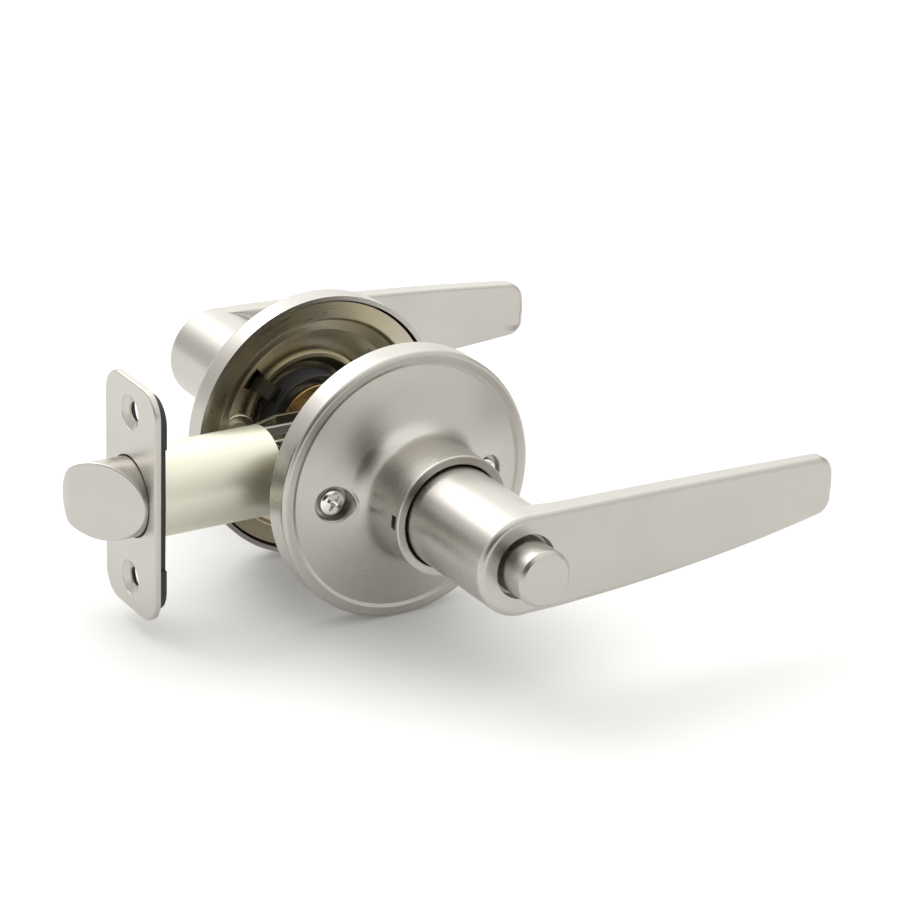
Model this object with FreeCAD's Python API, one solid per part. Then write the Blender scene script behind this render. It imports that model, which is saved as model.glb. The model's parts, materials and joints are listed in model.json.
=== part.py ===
import FreeCAD, Part
import math
import os

# Door lever set with a push button privacy lock and a tubular spring latch.
# Millimetres. The spindle runs along Y and the latch along X; they cross at the origin, in the middle of
# the door. -Y is the room side with the button, +Y the other side, -X the door's edge, +Z up.

Vector = FreeCAD.Vector

# ---- the door and its standard holes
DOOR = 34.9              # 1-3/8 in door
BACKSET = 60.3           # 2-3/8 in from the spindle to the door's edge
SCREW_X = 20.65          # through bolts, 1-5/8 in apart
FACE_SCREW_Z = 20.65     # faceplate screws, 1-5/8 in apart
HALF = DOOR / 2

# ---- rose (round cover), as radius and height h above the door's face
ROSE_R = 33.3
RIM_H = 6.5
SHEET = 1.0
CONE_SLOPE = math.radians(17.3)
COLLAR_R = 14.8
COLLAR_BORE = 12.65
COLLAR_H = 26.5
COVE_R = 6.0             # hollow fillet between the shallow cone and the collar's wall
COVE_H = 15.0            # height of its centre
PIN_HOLE_H = 24.6        # access hole of the lever catch
DIMPLE_R = 4.2
DIMPLE_H = 5.6           # seat of the through bolts' heads
BOLT_HEAD_R = 3.3
BOLT_HEAD_T = 2.2

# ---- lever
SHANK_R = 12.2
SHANK_H0 = 16.4
SHANK_H1 = 57.45
END_ROUND = 1.2
LEVER_TIP = 90.2
RECESS_R = 7.58
RECESS_FLOOR_H = 48.35
SLEEVE_R = 9.0
SLEEVE_BORE = 7.8
RUNNING = 0.05           # radial running clearance

# ---- push button
BUTTON_R = 6.68
BUTTON_H1 = 65.45
BUTTON_FLANGE_H = (52.0, 54.4)
BUTTON_BORE = 5.0
BUTTON_BORE_H = 60.0
ROD_R = 1.5

# ---- mounting plate, torsion spring and cam
PLATE_T = 1.5
HUB_H = (9.8, 12.9)
HUB_R = 10.6
PAD_R = 5.2
PAD_H = 4.0
LIP_R = (15.6, 17.2)     # raised ring round the well
LIP_H = 5.9
CUP_PAD_R = 6.4          # room side: the pad is a drawn cup that takes the rose's dimple
CUP_PAD_H = (3.0, 4.55)
TAB_ANGLES = (39, 141, 219, 321)
COIL_R = 12.0
COIL_WIRE = 1.2
CAM_R = 10.6
CAM_H = (0.6, 1.8)

# ---- spindle and latch
SPINDLE = 7.0
SPINDLE_BORE = 1.9
TUBE_R = 10.8
TUBE_BORE = 10.1
TUBE_END = -25.4
FACE_T = 1.6
FACE_W = 25.4
FACE_L = 57.15
FACE_CORNER = 6.35
BACK_T = 2.0
BACK_HOLE_R = 4.6        # clears the faceplate screws
BOLT_R = 9.6
BOLT_THROW = 12.7
BOLT_REAR = -57.0
NOSE_Y = 6.5             # the slanted nose runs from here at the tip
NOSE_ROOT = -61.2        # to here at the bolt's near side
BOLT_BORE = 5.5
SPRING_SEAT = -61.5
WASHER_X = -41.3
RETRACTOR_WEB = -39.5
CASE_END = 18.5
BARREL_R = 5.9
LOBE_R = 11.8
LOBE_ANGLE = 30.0        # the lobes start this far before the vertical

PARTS = {}


def box(x0, x1, y0, y1, z0, z1):
    """Box between two corners."""
    return Part.makeBox(x1 - x0, y1 - y0, z1 - z0, Vector(x0, y0, z0))


def rod_x(r, x0, x1, y=0.0, z=0.0):
    """Cylinder along X."""
    return Part.makeCylinder(r, x1 - x0, Vector(x0, y, z), Vector(1, 0, 0))


def rod_y(r, y0, y1, x=0.0, z=0.0):
    """Cylinder along Y between two heights, in either order."""
    low = min(y0, y1)
    return Part.makeCylinder(r, abs(y1 - y0), Vector(x, low, z), Vector(0, 1, 0))


def at(side, h):
    """Y of a height above the door's face; side is -1 for the room side and 1 for the other."""
    return side * (HALF + h)


def disc(side, r, h0, h1, x=0.0, z=0.0):
    """Round bar between two heights above the door's face."""
    return rod_y(r, at(side, h0), at(side, h1), x, z)


def ring(side, r_out, r_in, h0, h1, x=0.0, z=0.0):
    """Ring between two heights above the door's face."""
    return disc(side, r_out, h0, h1, x, z).cut(disc(side, r_in, h0 - 1, h1 + 1, x, z))


def path(points, close=True):
    """Wire through points; a point given as ('arc', middle, end) is reached by an arc."""
    edges = []
    start = here = points[0]
    for step in points[1:]:
        if step[0] == "arc":
            edges.append(Part.Arc(here, step[1], step[2]).toShape())
            here = step[2]
        else:
            edges.append(Part.makeLine(here, step))
            here = step
    if close and (here - start).Length > 1e-7:
        edges.append(Part.makeLine(here, start))
    return Part.Wire(edges)


def profile(side, points):
    """Face in the XY plane from (radius, height) points and ('arc', middle, end) steps."""
    def place(p):
        return Vector(p[0], at(side, p[1]), 0)
    steps = [("arc", place(p[1]), place(p[2])) if p[0] == "arc" else place(p) for p in points]
    return Part.Face(path(steps))


def turned(side, points):
    """Solid turned about the spindle's axis."""
    solid = profile(side, points).revolve(Vector(0, 0, 0), Vector(0, 1, 0), 360)
    if solid.Volume < 0:
        solid.reverse()
    return solid


def about_spindle(shape, degrees):
    """Copy turned about the spindle's axis; degrees run from +X towards +Z."""
    copy = shape.copy()
    copy.rotate(Vector(0, 0, 0), Vector(0, 1, 0), -degrees)
    return copy


def on_cove(radius, slope):
    """Point (r, h) of the rose's cove where it has the given slope, for a cove of the given radius."""
    return COLLAR_R + COVE_R - radius * math.sin(slope), COVE_H - radius * math.cos(slope)


def cone(radius, r):
    """Height at distance r of the cone that runs into the cove of the given radius."""
    end_r, end_h = on_cove(radius, CONE_SLOPE)
    return end_h - (r - end_r) * math.tan(CONE_SLOPE)


def cove(radius):
    """Arc step up the cove, from the cone to the collar's wall."""
    return "arc", on_cove(radius, (CONE_SLOPE + math.pi / 2) / 2), on_cove(radius, math.pi / 2)


def coil(radius, wire, pitch, turns, start, direction):
    """Round wire wound along direction; each half turn is half a ring, tilted to rise half the pitch."""
    halves = []
    for k in range(round(turns * 2)):
        way = 1 if k % 2 == 0 else -1
        low = Vector(way * radius, 0, k * pitch / 2)
        middle = Vector(0, 0, (k + 0.5) * pitch / 2)
        section = Part.Face(Part.Wire(Part.makeCircle(wire / 2, low, Vector(0, 1, 0))))
        halves.append(section.revolve(middle, Vector(way * pitch / 4, 0, radius), 180))
    solid = halves[0].fuse(halves[1:])
    solid.Placement = FreeCAD.Placement(start, FreeCAD.Rotation(Vector(0, 0, 1), direction))
    return solid


def rounded_plate(x0, x1, width, length, corner):
    """Plate in the YZ plane with round corners."""
    plate = box(x0, x1, -width / 2, width / 2, -length / 2, length / 2)
    upright = [e for e in plate.Edges if abs(e.Vertexes[0].X - e.Vertexes[1].X) > (x1 - x0) / 2]
    return plate.makeFillet(corner, upright)


# ------------------------------------------------------------------ trim on each face of the door

def rose(side, with_bolts):
    """Pressed round cover: straight rim, flat ring, shallow cone, cove and a straight collar."""
    inner_r = COVE_R + SHEET
    foot = 29.6
    neck = 18.0
    shell = turned(side, [
        (ROSE_R - 1.1, 0), (ROSE_R, 0), (ROSE_R, RIM_H - 0.5), (ROSE_R - 0.5, RIM_H), (30.4, RIM_H),
        (foot, cone(COVE_R, foot)), on_cove(COVE_R, CONE_SLOPE), cove(COVE_R),
        (COLLAR_R, COLLAR_H - 0.5), (COLLAR_R - 0.5, COLLAR_H), (COLLAR_BORE + 0.4, COLLAR_H),
        (COLLAR_BORE, COLLAR_H - 0.4), (COLLAR_BORE, neck), (COLLAR_R - SHEET, neck),
        on_cove(inner_r, math.pi / 2), ("arc", cove(inner_r)[1], on_cove(inner_r, CONE_SLOPE)),
        (foot, cone(inner_r, foot)), (ROSE_R - 1.1, cone(inner_r, foot))])
    slot = box(-COLLAR_R - 2, -COLLAR_BORE + 1.2, at(side, PIN_HOLE_H) - 0.9, at(side, PIN_HOLE_H) + 0.9, -0.9, 2.3)
    shell = shell.cut(slot)
    if with_bolts:
        dome = turned(side, [
            (0, 0), (ROSE_R - 3, 0), (foot, cone(COVE_R, foot)), on_cove(COVE_R, CONE_SLOPE), cove(COVE_R),
            (0, COVE_H)])
        for x in (-SCREW_X, SCREW_X):
            cup = disc(side, DIMPLE_R + SHEET, DIMPLE_H - SHEET, COLLAR_H, x)
            shell = shell.fuse(cup.common(dome))
            shell = shell.cut(disc(side, DIMPLE_R, DIMPLE_H, COLLAR_H + 5, x))
            shell = shell.cut(disc(side, 2.3, 0, COLLAR_H, x))
    return shell


def mounting_plate(side, hole_r):
    """Stamped plate behind the rose: flange, dished bowl, raised lip, flat well and a bearing hub."""
    t = PLATE_T
    well = HUB_H[0]
    rear = [
        (28.3, 1.0 + t), (27.6, 3.6), (24.0, 5.6), ("arc", (20.5, 6.75), (17.2, 8.35)), (15.4, 9.75),
        (14.2, well + t), (HUB_R, well + t)]
    plate = turned(side, [(31.6, 1.0), (31.6, 1.0 + t)] + rear + [
        (HUB_R, HUB_H[1]), (SLEEVE_R + RUNNING, HUB_H[1]), (SLEEVE_R + RUNNING, well),
        (13.6, well), (15.0, 8.2), (16.9, 6.75), ("arc", (20.2, 5.2), (23.6, 4.1)), (26.6, 2.3), (27.3, 1.0)])
    plate = plate.fuse(ring(side, LIP_R[1], LIP_R[0], LIP_H, 7.9))
    filled = turned(side, [(0, 0), (28.3, 0)] + rear + [(0, well + t)])
    pad_r, pad_h = (CUP_PAD_R, CUP_PAD_H[0]) if side < 0 else (PAD_R, PAD_H)
    for x in (-SCREW_X, SCREW_X):
        plate = plate.fuse(disc(side, pad_r, pad_h, 11.3, x).common(filled))
        if side < 0:
            plate = plate.cut(disc(side, DIMPLE_R + SHEET + RUNNING, CUP_PAD_H[1], 12, x))
        plate = plate.cut(disc(side, hole_r, 0, 12, x))
    window = box(18.3, 22.4, at(side, 6) - 6, at(side, 6) + 6, -2.6, 2.6)
    blade = profile(side, [(18.4, 6.3), (18.4, 7.6), (17.4, 7.6), (13.8, 4.6), (13.8, 3.4), (14.7, 3.4)])
    tab = blade.extrude(Vector(0, 0, 4.0))
    tab.translate(Vector(0, 0, -2.0))
    for angle in TAB_ANGLES:
        plate = plate.cut(about_spindle(window, angle))
        plate = plate.fuse(about_spindle(tab, angle))
    return plate.removeSplitter()


def bush(side):
    """Thin plastic bearing between the rose's collar and the lever's shank."""
    return ring(side, COLLAR_BORE - 0.03, SHANK_R + RUNNING, 18.2, 23.2)


def sleeve(side):
    """Tubular shaft that carries the lever and turns in the mounting plate's hub."""
    body = ring(side, SLEEVE_R, SLEEVE_BORE, CAM_H[1], 46.5)
    body = body.fuse(ring(side, HUB_R, SLEEVE_BORE, 13.1, 14.1))
    body = body.cut(ring(side, SLEEVE_R + 1, SLEEVE_R - 0.55, 8.85, 9.75))
    for z in (-1, 1):
        body = body.cut(box(-1.2, 1.2, *sorted((at(side, 12.0), at(side, 18.6))), *sorted((z * 5, z * 12))))
    return body.cut(Part.makeCylinder(1.4, 5, Vector(-11, at(side, PIN_HOLE_H), 0.7), Vector(1, 0, 0)))


def retaining_ring(side):
    """Open spring ring in the sleeve's groove, behind the hub."""
    clip = ring(side, SLEEVE_R + 1.9, SLEEVE_R - 0.5, 8.9, 9.7)
    return clip.cut(box(-2.2, 2.2, *sorted((at(side, 8), at(side, 11))), -13, -5))


def cam(side):
    """Brass drive plate with a square hole for the spindle and a finger for the spring."""
    plate = disc(side, CAM_R, *CAM_H)
    plate = plate.fuse(box(-1.6, 1.6, *sorted((at(side, CAM_H[0]), at(side, CAM_H[1]))), -13.2, -9))
    half = SPINDLE / 2 + RUNNING
    return plate.cut(box(-half, half, *sorted((at(side, 0), at(side, 3))), -half, half))


def return_spring(side):
    """Torsion spring round the sleeve, with a leg at each end."""
    turns = 4.5
    pitch = 1.25
    start = Vector(0, at(side, 2.7), 0)
    body = coil(COIL_R, COIL_WIRE, pitch, turns, start, Vector(0, side, 0))
    return body


def lever(side, with_button):
    """Round shank with a long tapering blade along +X."""
    shank = disc(side, SHANK_R, SHANK_H0, SHANK_H1)
    rim = [e for e in shank.Edges if abs(e.CenterOfMass.y - at(side, SHANK_H1)) < 0.01]
    shank = shank.makeFillet(END_ROUND, rim)
    low = 50.0
    high = 90.0

    def spot(x, z):
        return Vector(x, low, z)
    outline = path([
        spot(0, 12.1), ("arc", spot(45, 10.6), spot(84.6, 8.1)), ("arc", spot(88.8, 6.2), spot(90.0, 3.0)),
        spot(LEVER_TIP, 0.5), spot(90.0, -2.0), ("arc", spot(89.0, -5.6), spot(85.8, -7.0)),
        ("arc", spot(50, -10.4), spot(0, -12.1))])
    blank = Part.Face(outline).extrude(Vector(0, high - low, 0))
    front = HALF + SHANK_H1
    slab = Part.Face(path([
        Vector(0, front, -20), Vector(8, front, -20),
        ("arc", Vector(50, front - 1.9, -20), Vector(LEVER_TIP, front - 5.4, -20)),
        Vector(LEVER_TIP, front - 9.6, -20),
        ("arc", Vector(50, front - 6.9, -20), Vector(8, front - 5.6, -20)), Vector(0, front - 5.6, -20)]))
    blade = blank.common(slab.extrude(Vector(0, 0, 40)))
    if side < 0:
        blade = blade.mirror(Vector(0, 0, 0), Vector(0, 1, 0))
    body = shank.fuse(blade).removeSplitter()
    body = body.cut(disc(side, SLEEVE_R + RUNNING, 10, 47.0))
    body = body.cut(disc(side, 11.0, 10, 19.2))
    body = body.cut(Part.makeCylinder(1.4, 6, Vector(-14, at(side, PIN_HOLE_H), 0.7), Vector(1, 0, 0)))
    if with_button:
        body = body.cut(disc(side, RECESS_R, RECESS_FLOOR_H, SHANK_H1 + 5))
        return body.cut(disc(side, 3.0, 40, SHANK_H1))
    return body.cut(disc(side, 1.25, 40, SHANK_H1 + 5))


def lever_catch(side):
    """Spring leaf inside the sleeve with a stud that locks the lever on."""
    leaf = box(-7.25, -6.75, *sorted((at(side, 21.5), at(side, 36.0))), -1.3, 2.7)
    stud = Part.makeCylinder(1.3, 4.8, Vector(-12.0, at(side, PIN_HOLE_H), 0.7), Vector(1, 0, 0))
    return leaf.fuse(stud)


# ------------------------------------------------------------------ fasteners, button and spindle

def through_bolts():
    """Two pan head machine screws with cross recesses."""
    bolts = []
    for x in (-SCREW_X, SCREW_X):
        top = DIMPLE_H + BOLT_HEAD_T
        head = disc(-1, BOLT_HEAD_R, DIMPLE_H, top, x)
        rim = [e for e in head.Edges if abs(e.CenterOfMass.y - at(-1, top)) < 0.01]
        head = head.makeFillet(1.0, rim)
        for turn in (45, 135):
            bar = box(-1.9, 1.9, *sorted((at(-1, DIMPLE_H + 0.9), at(-1, DIMPLE_H + 3))), -0.4, 0.4)
            bar = about_spindle(bar, turn)
            bar.translate(Vector(x, 0, 0))
            head = head.cut(bar)
        bolts.append(head.fuse(rod_y(1.95, at(-1, DIMPLE_H), 1.0, x)))
    return Part.makeCompound(bolts)


def mounting_posts():
    """Two threaded posts staked into the outer mounting plate."""
    posts = []
    for x in (-SCREW_X, SCREW_X):
        post = rod_y(3.2, -8.0, at(1, PAD_H), x).fuse(rod_y(1.95, at(1, PAD_H), at(1, 5.9), x))
        posts.append(post.cut(rod_y(2.0, -9.0, 6.0, x)))
    return Part.makeCompound(posts)


def privacy_button():
    """Hollow push button with a chamfered end and a flange that keeps it in the lever."""
    return turned(-1, [
        (0, BUTTON_BORE_H), (0, BUTTON_H1), (BUTTON_R - 0.7, BUTTON_H1), (BUTTON_R, BUTTON_H1 - 0.7),
        (BUTTON_R, BUTTON_FLANGE_H[1]), (RECESS_R - 0.08, BUTTON_FLANGE_H[1]),
        (RECESS_R - 0.08, BUTTON_FLANGE_H[0]), (BUTTON_BORE, BUTTON_FLANGE_H[0]), (BUTTON_BORE, BUTTON_BORE_H)])


def lock_plate():
    """Cross bar on the locking bar; its ears slide in the sleeve's slots towards the hub."""
    ears = box(-1.0, 1.0, at(-1, 18.4), at(-1, 16.9), -10.4, 10.4)
    return ears.fuse(disc(-1, 4.0, 16.9, 18.4)).cut(rod_y(ROD_R, -60, 0))


def spindle():
    """Square bar through the latch, bored for the locking bar."""
    half = SPINDLE / 2
    return box(-half, half, -30.0, 38.0, -half, half).cut(rod_y(SPINDLE_BORE, -31, 39))


# ------------------------------------------------------------------ latch

def faceplate():
    """Plate on the door's edge with the bolt's hole and two countersunk screw holes."""
    outside = -BACKSET
    plate = rounded_plate(outside, outside + FACE_T, FACE_W, FACE_L, FACE_CORNER)
    plate = plate.cut(rod_x(BOLT_R + RUNNING, outside - 1, outside + FACE_T + 1))
    for z in (-FACE_SCREW_Z, FACE_SCREW_Z):
        plate = plate.cut(rod_x(2.3, outside - 1, outside + FACE_T + 1, 0, z))
        cone = Part.makeCone(4.2, 2.3, 1.1, Vector(outside, 0, z), Vector(1, 0, 0))
        plate = plate.cut(cone)
    return plate


def latch_backplate():
    """Black seat behind the faceplate."""
    x0 = -BACKSET + FACE_T
    plate = rounded_plate(x0, x0 + BACK_T, 23.4, 53.0, 6.0)
    for y in (-1, 1):
        plate = plate.cut(box(x0 - 1, x0 + BACK_T + 1, *sorted((y * 11.0, y * 14)), -15.0, 15.0))
    plate = plate.cut(rod_x(TUBE_R + RUNNING, x0 - 1, x0 + BACK_T + 1))
    for z in (-FACE_SCREW_Z, FACE_SCREW_Z):
        plate = plate.cut(rod_x(BACK_HOLE_R, x0 - 1, x0 + BACK_T + 1, 0, z))
    return plate


def latch_tube():
    """Tube in the door's edge bore."""
    x0 = -BACKSET + FACE_T
    return rod_x(TUBE_R, x0, TUBE_END).cut(rod_x(TUBE_BORE, x0 - 1, TUBE_END + 1))


def latch_bolt():
    """Round bolt with a slanted nose, a stop flange at its rear and a pull rod with a head."""
    tip = -BACKSET - BOLT_THROW
    body = rod_x(BOLT_R, tip, -58.6).fuse(rod_x(TUBE_BORE - RUNNING, -58.6, BOLT_REAR))
    wedge = Part.Face(path([
        Vector(tip, NOSE_Y, -15), Vector(NOSE_ROOT, -BOLT_R, -15), Vector(NOSE_ROOT, -20, -15),
        Vector(tip, -20, -15)])).extrude(Vector(0, 0, 30))
    body = body.cut(wedge).cut(rod_x(BOLT_BORE, SPRING_SEAT, BOLT_REAR + 1))
    pull = rod_x(2.0, SPRING_SEAT, RETRACTOR_WEB + 1.0)
    head = rod_x(3.0, RETRACTOR_WEB + 1.05, RETRACTOR_WEB + 2.3)
    return body, pull.fuse(rod_x(2.0, RETRACTOR_WEB + 0.9, RETRACTOR_WEB + 1.2)).fuse(head)


def case_plate(side):
    """Jogged side plate that holds the hub; it tucks into the tube."""
    t = 0.8
    y_in, y_out = 5.0, 8.2
    strip = Part.Face(path([
        Vector(-33, side * y_in, 0), Vector(-25.2, side * y_in, 0), Vector(-17.6, side * y_out, 0),
        Vector(CASE_END, side * y_out, 0), Vector(CASE_END, side * (y_out + t), 0),
        Vector(-17.9, side * (y_out + t), 0), Vector(-25.5, side * (y_in + t), 0),
        Vector(-33, side * (y_in + t), 0)]))
    plate = strip.extrude(Vector(0, 0, 18.4))
    plate.translate(Vector(0, 0, -9.2))
    for z0, z1 in ((-12, -8.0), (8.0, 12)):
        plate = plate.cut(box(-34, -24.6, *sorted((0, side * 12)), z0, z1))
    plate = plate.cut(rod_y(BARREL_R + RUNNING, 0, side * 12))
    for x in (-SCREW_X, SCREW_X):
        plate = plate.cut(rod_y(3.8, 0, side * 12, x))
    for x in (-14.2, 13.6):
        plate = plate.cut(rod_y(1.35, 0, side * 12, x))
    return plate


def case_rivets():
    """Two spacer rivets between the side plates."""
    rivets = []
    for x in (-14.2, 13.6):
        pin = rod_y(1.3, -9.05, 9.05, x).fuse(rod_y(1.9, -8.15, 8.15, x))
        rivets.append(pin.fuse(rod_y(2.2, -9.8, -9.02, x)).fuse(rod_y(2.2, 9.02, 9.8, x)))
    return Part.makeCompound(rivets)


def latch_hub():
    """Barrel with two lobes that push the retractor."""
    barrel = rod_y(BARREL_R, -10.2, 10.2)
    outline = [(0, 11.65), (-0.45, 10.9), (-2.9, 6.6), (-3.2, 3.0), (-6.0, 3.0), (-6.8, 6.0), (-5.0, 10.6),
               (-2.5, 11.5)]
    lobe = Part.Face(path([Vector(x, -3.2, z) for x, z in outline])).extrude(Vector(0, 6.4, 0))
    for turn, flip in ((0, 1), (180, -1)):
        arm = lobe if flip > 0 else lobe.mirror(Vector(0, 0, 0), Vector(1, 0, 0))
        arm = about_spindle(arm, turn + flip * LOBE_ANGLE)
        barrel = barrel.fuse(arm)
    half = SPINDLE / 2 + RUNNING
    return barrel.cut(box(-half, half, -11, 11, -half, half))


def retractor():
    """Fork round the hub: four rails, two flanges at the lobes and a web at the bolt's rod."""
    push = -LOBE_R * math.sin(math.radians(LOBE_ANGLE)) + 0.15
    body = box(RETRACTOR_WEB, RETRACTOR_WEB + 1.0, -4.6, 4.6, -8.6, 8.6)
    for z in (-1, 1):
        for y in (-1, 1):
            rail = box(RETRACTOR_WEB, push + 1.2, *sorted((y * 3.6, y * 4.6)), *sorted((z * 6.2, z * 8.6)))
            body = body.fuse(rail)
        body = body.fuse(box(push, push + 1.2, -4.6, 4.6, *sorted((z * 6.2, z * 11.2))))
    return body.cut(rod_x(2.1, RETRACTOR_WEB - 1, RETRACTOR_WEB + 2))


def build():
    """Make every piece and write one STEP file for each."""
    for side, name in ((-1, "interior"), (1, "exterior")):
        PARTS[name + "_rose"] = rose(side, side < 0)
        PARTS[name + "_bush"] = bush(side)
        PARTS[name + "_mounting_plate"] = mounting_plate(side, 2.4 if side < 0 else 2.0)
        PARTS[name + "_retaining_ring"] = retaining_ring(side)
        PARTS[name + "_return_spring"] = return_spring(side)
        PARTS[name + "_sleeve"] = sleeve(side)
        PARTS[name + "_cam"] = cam(side)
        PARTS[name + "_lever"] = lever(side, side < 0)
        PARTS[name + "_lever_catch"] = lever_catch(side)
    PARTS["through_bolts"] = through_bolts()
    PARTS["mounting_posts"] = mounting_posts()
    PARTS["spindle"] = spindle()
    PARTS["privacy_button"] = privacy_button()
    PARTS["button_retaining_ring"] = ring(-1, RECESS_R, BUTTON_R + 0.08, 54.5, 55.3)
    spring_h = BUTTON_BORE_H - RECESS_FLOOR_H
    PARTS["button_spring"] = coil(
        3.9, 0.5, (spring_h - 0.7) / 7, 7, Vector(0, at(-1, RECESS_FLOOR_H + 0.3), 0), Vector(0, -1, 0))
    PARTS["locking_bar"] = rod_y(ROD_R, at(-1, BUTTON_BORE_H), 45.0)
    PARTS["lock_plate"] = lock_plate()
    PARTS["faceplate"] = faceplate()
    PARTS["latch_backplate"] = latch_backplate()
    PARTS["latch_tube"] = latch_tube()
    PARTS["latch_bolt"], PARTS["bolt_pull_rod"] = latch_bolt()
    PARTS["bolt_spring"] = coil(
        3.9, 0.8, (WASHER_X - SPRING_SEAT - 0.9) / 6, 6, Vector(SPRING_SEAT + 0.45, 0, 0), Vector(1, 0, 0))
    PARTS["spring_washer"] = rod_x(TUBE_BORE - 0.02, WASHER_X, WASHER_X + 1.0).cut(rod_x(2.2, -50, -30))
    PARTS["case_front_plate"] = case_plate(-1)
    PARTS["case_rear_plate"] = case_plate(1)
    PARTS["case_rivets"] = case_rivets()
    PARTS["latch_hub"] = latch_hub()
    PARTS["retractor"] = retractor()
    os.makedirs("parts", exist_ok=True)
    for name, shape in PARTS.items():
        print(name, shape.ShapeType, len(shape.Solids), shape.isValid(), round(shape.Volume, 1))
        shape.exportStep("parts/" + name + ".step")


build()
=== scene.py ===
"""Looks of a door lever set: room side and outer levers on round roses, a push button privacy lock and a
tubular spring latch.

The frame (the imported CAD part) gives every place and size. Shapes are worked out in millimetres as numpy grids
and written to meshes in metres. The spindle runs along Y, the latch along X, and Z is up. Heights h are
measured outwards from the door's face, so a point on the room side has y = -(HALF + h) and one on the other
side has y = HALF + h.
"""
import json
import math

import bmesh
import bpy
import numpy as np
from bpy.props import FloatProperty, FloatVectorProperty, PointerProperty
from mathutils import Matrix, Vector

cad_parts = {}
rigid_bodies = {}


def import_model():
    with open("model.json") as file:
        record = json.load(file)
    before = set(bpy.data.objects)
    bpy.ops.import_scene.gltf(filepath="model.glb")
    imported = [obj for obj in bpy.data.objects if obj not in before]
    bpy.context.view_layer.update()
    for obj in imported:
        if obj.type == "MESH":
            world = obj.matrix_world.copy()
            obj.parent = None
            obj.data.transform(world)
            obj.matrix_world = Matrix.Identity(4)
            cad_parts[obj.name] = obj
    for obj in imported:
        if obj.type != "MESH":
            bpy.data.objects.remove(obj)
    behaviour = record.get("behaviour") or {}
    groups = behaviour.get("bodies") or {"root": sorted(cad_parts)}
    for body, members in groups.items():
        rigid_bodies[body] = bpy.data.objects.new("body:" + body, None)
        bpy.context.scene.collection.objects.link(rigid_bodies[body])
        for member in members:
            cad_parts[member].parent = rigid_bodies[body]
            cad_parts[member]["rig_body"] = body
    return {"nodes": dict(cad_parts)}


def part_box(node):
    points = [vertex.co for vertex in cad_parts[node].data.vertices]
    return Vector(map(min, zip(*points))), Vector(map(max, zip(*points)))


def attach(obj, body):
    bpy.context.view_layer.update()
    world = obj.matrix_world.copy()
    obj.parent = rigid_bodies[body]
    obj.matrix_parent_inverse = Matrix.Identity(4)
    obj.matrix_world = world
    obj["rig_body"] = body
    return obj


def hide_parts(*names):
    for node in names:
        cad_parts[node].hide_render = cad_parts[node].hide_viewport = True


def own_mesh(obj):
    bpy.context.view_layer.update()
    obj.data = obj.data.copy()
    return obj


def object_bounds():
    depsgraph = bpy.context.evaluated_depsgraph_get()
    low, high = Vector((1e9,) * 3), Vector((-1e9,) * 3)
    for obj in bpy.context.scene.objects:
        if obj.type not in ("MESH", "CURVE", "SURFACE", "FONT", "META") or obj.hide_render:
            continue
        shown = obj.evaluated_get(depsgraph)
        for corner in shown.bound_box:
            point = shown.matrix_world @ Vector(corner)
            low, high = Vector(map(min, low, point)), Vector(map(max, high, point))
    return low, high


bl_info = {
    "name": "Door lever set",
    "version": (1, 0, 0),
    "blender": (4, 5, 0),
    "location": "3D View > Sidebar > Lever set",
    "description": "Builds the visible pieces of a door lever set with a privacy button and a spring latch",
    "category": "Object",
}

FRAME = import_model()
CAD_BOX = [list(corner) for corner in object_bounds()]
MM = 0.001
HALF = 17.45                 # half of the door's thickness
SCREW_X = 20.65              # through bolts, either side of the spindle
ROOM, OUTER = -1, 1
COVE_CENTRE = (20.8, 15.0)   # radius and height of the centre of the rose's cove
COVE_START = math.radians(25.0)   # slope where the rose's dish runs into the cove
DISH_START = math.radians(9.5)    # slope at the dish's outer edge
DISH_RADIUS = 40.2
SLOT_H = (23.7, 25.5)        # access slot in the rose's collar
SLOT_Z = (-0.9, 2.3)
COLLAR_BORE = 12.65
NECK_H = 18.0                # where the collar's bore ends inside the rose
PATCH_HALF = math.radians(21.0)   # half of the angle that a dimple's patch takes in the rose
CUP_R = 6.4                  # the room side mounting plate's cups round the rose's dimples
TAB_TURNS = np.radians([39.0, 141.0, 219.0, 321.0])
FACE_SCREW_Z = 20.65         # faceplate screws, above and below the bolt
BOLT_TIP = -73.0
BOLT_SEAT = -58.6            # where the bolt's stop flange starts


def node_size(name, axis):
    """Length of a CAD node's box along an axis, in metres."""
    low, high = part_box(name)
    return high[axis] - low[axis]


# ---------------------------------------------------------------- settings

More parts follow.
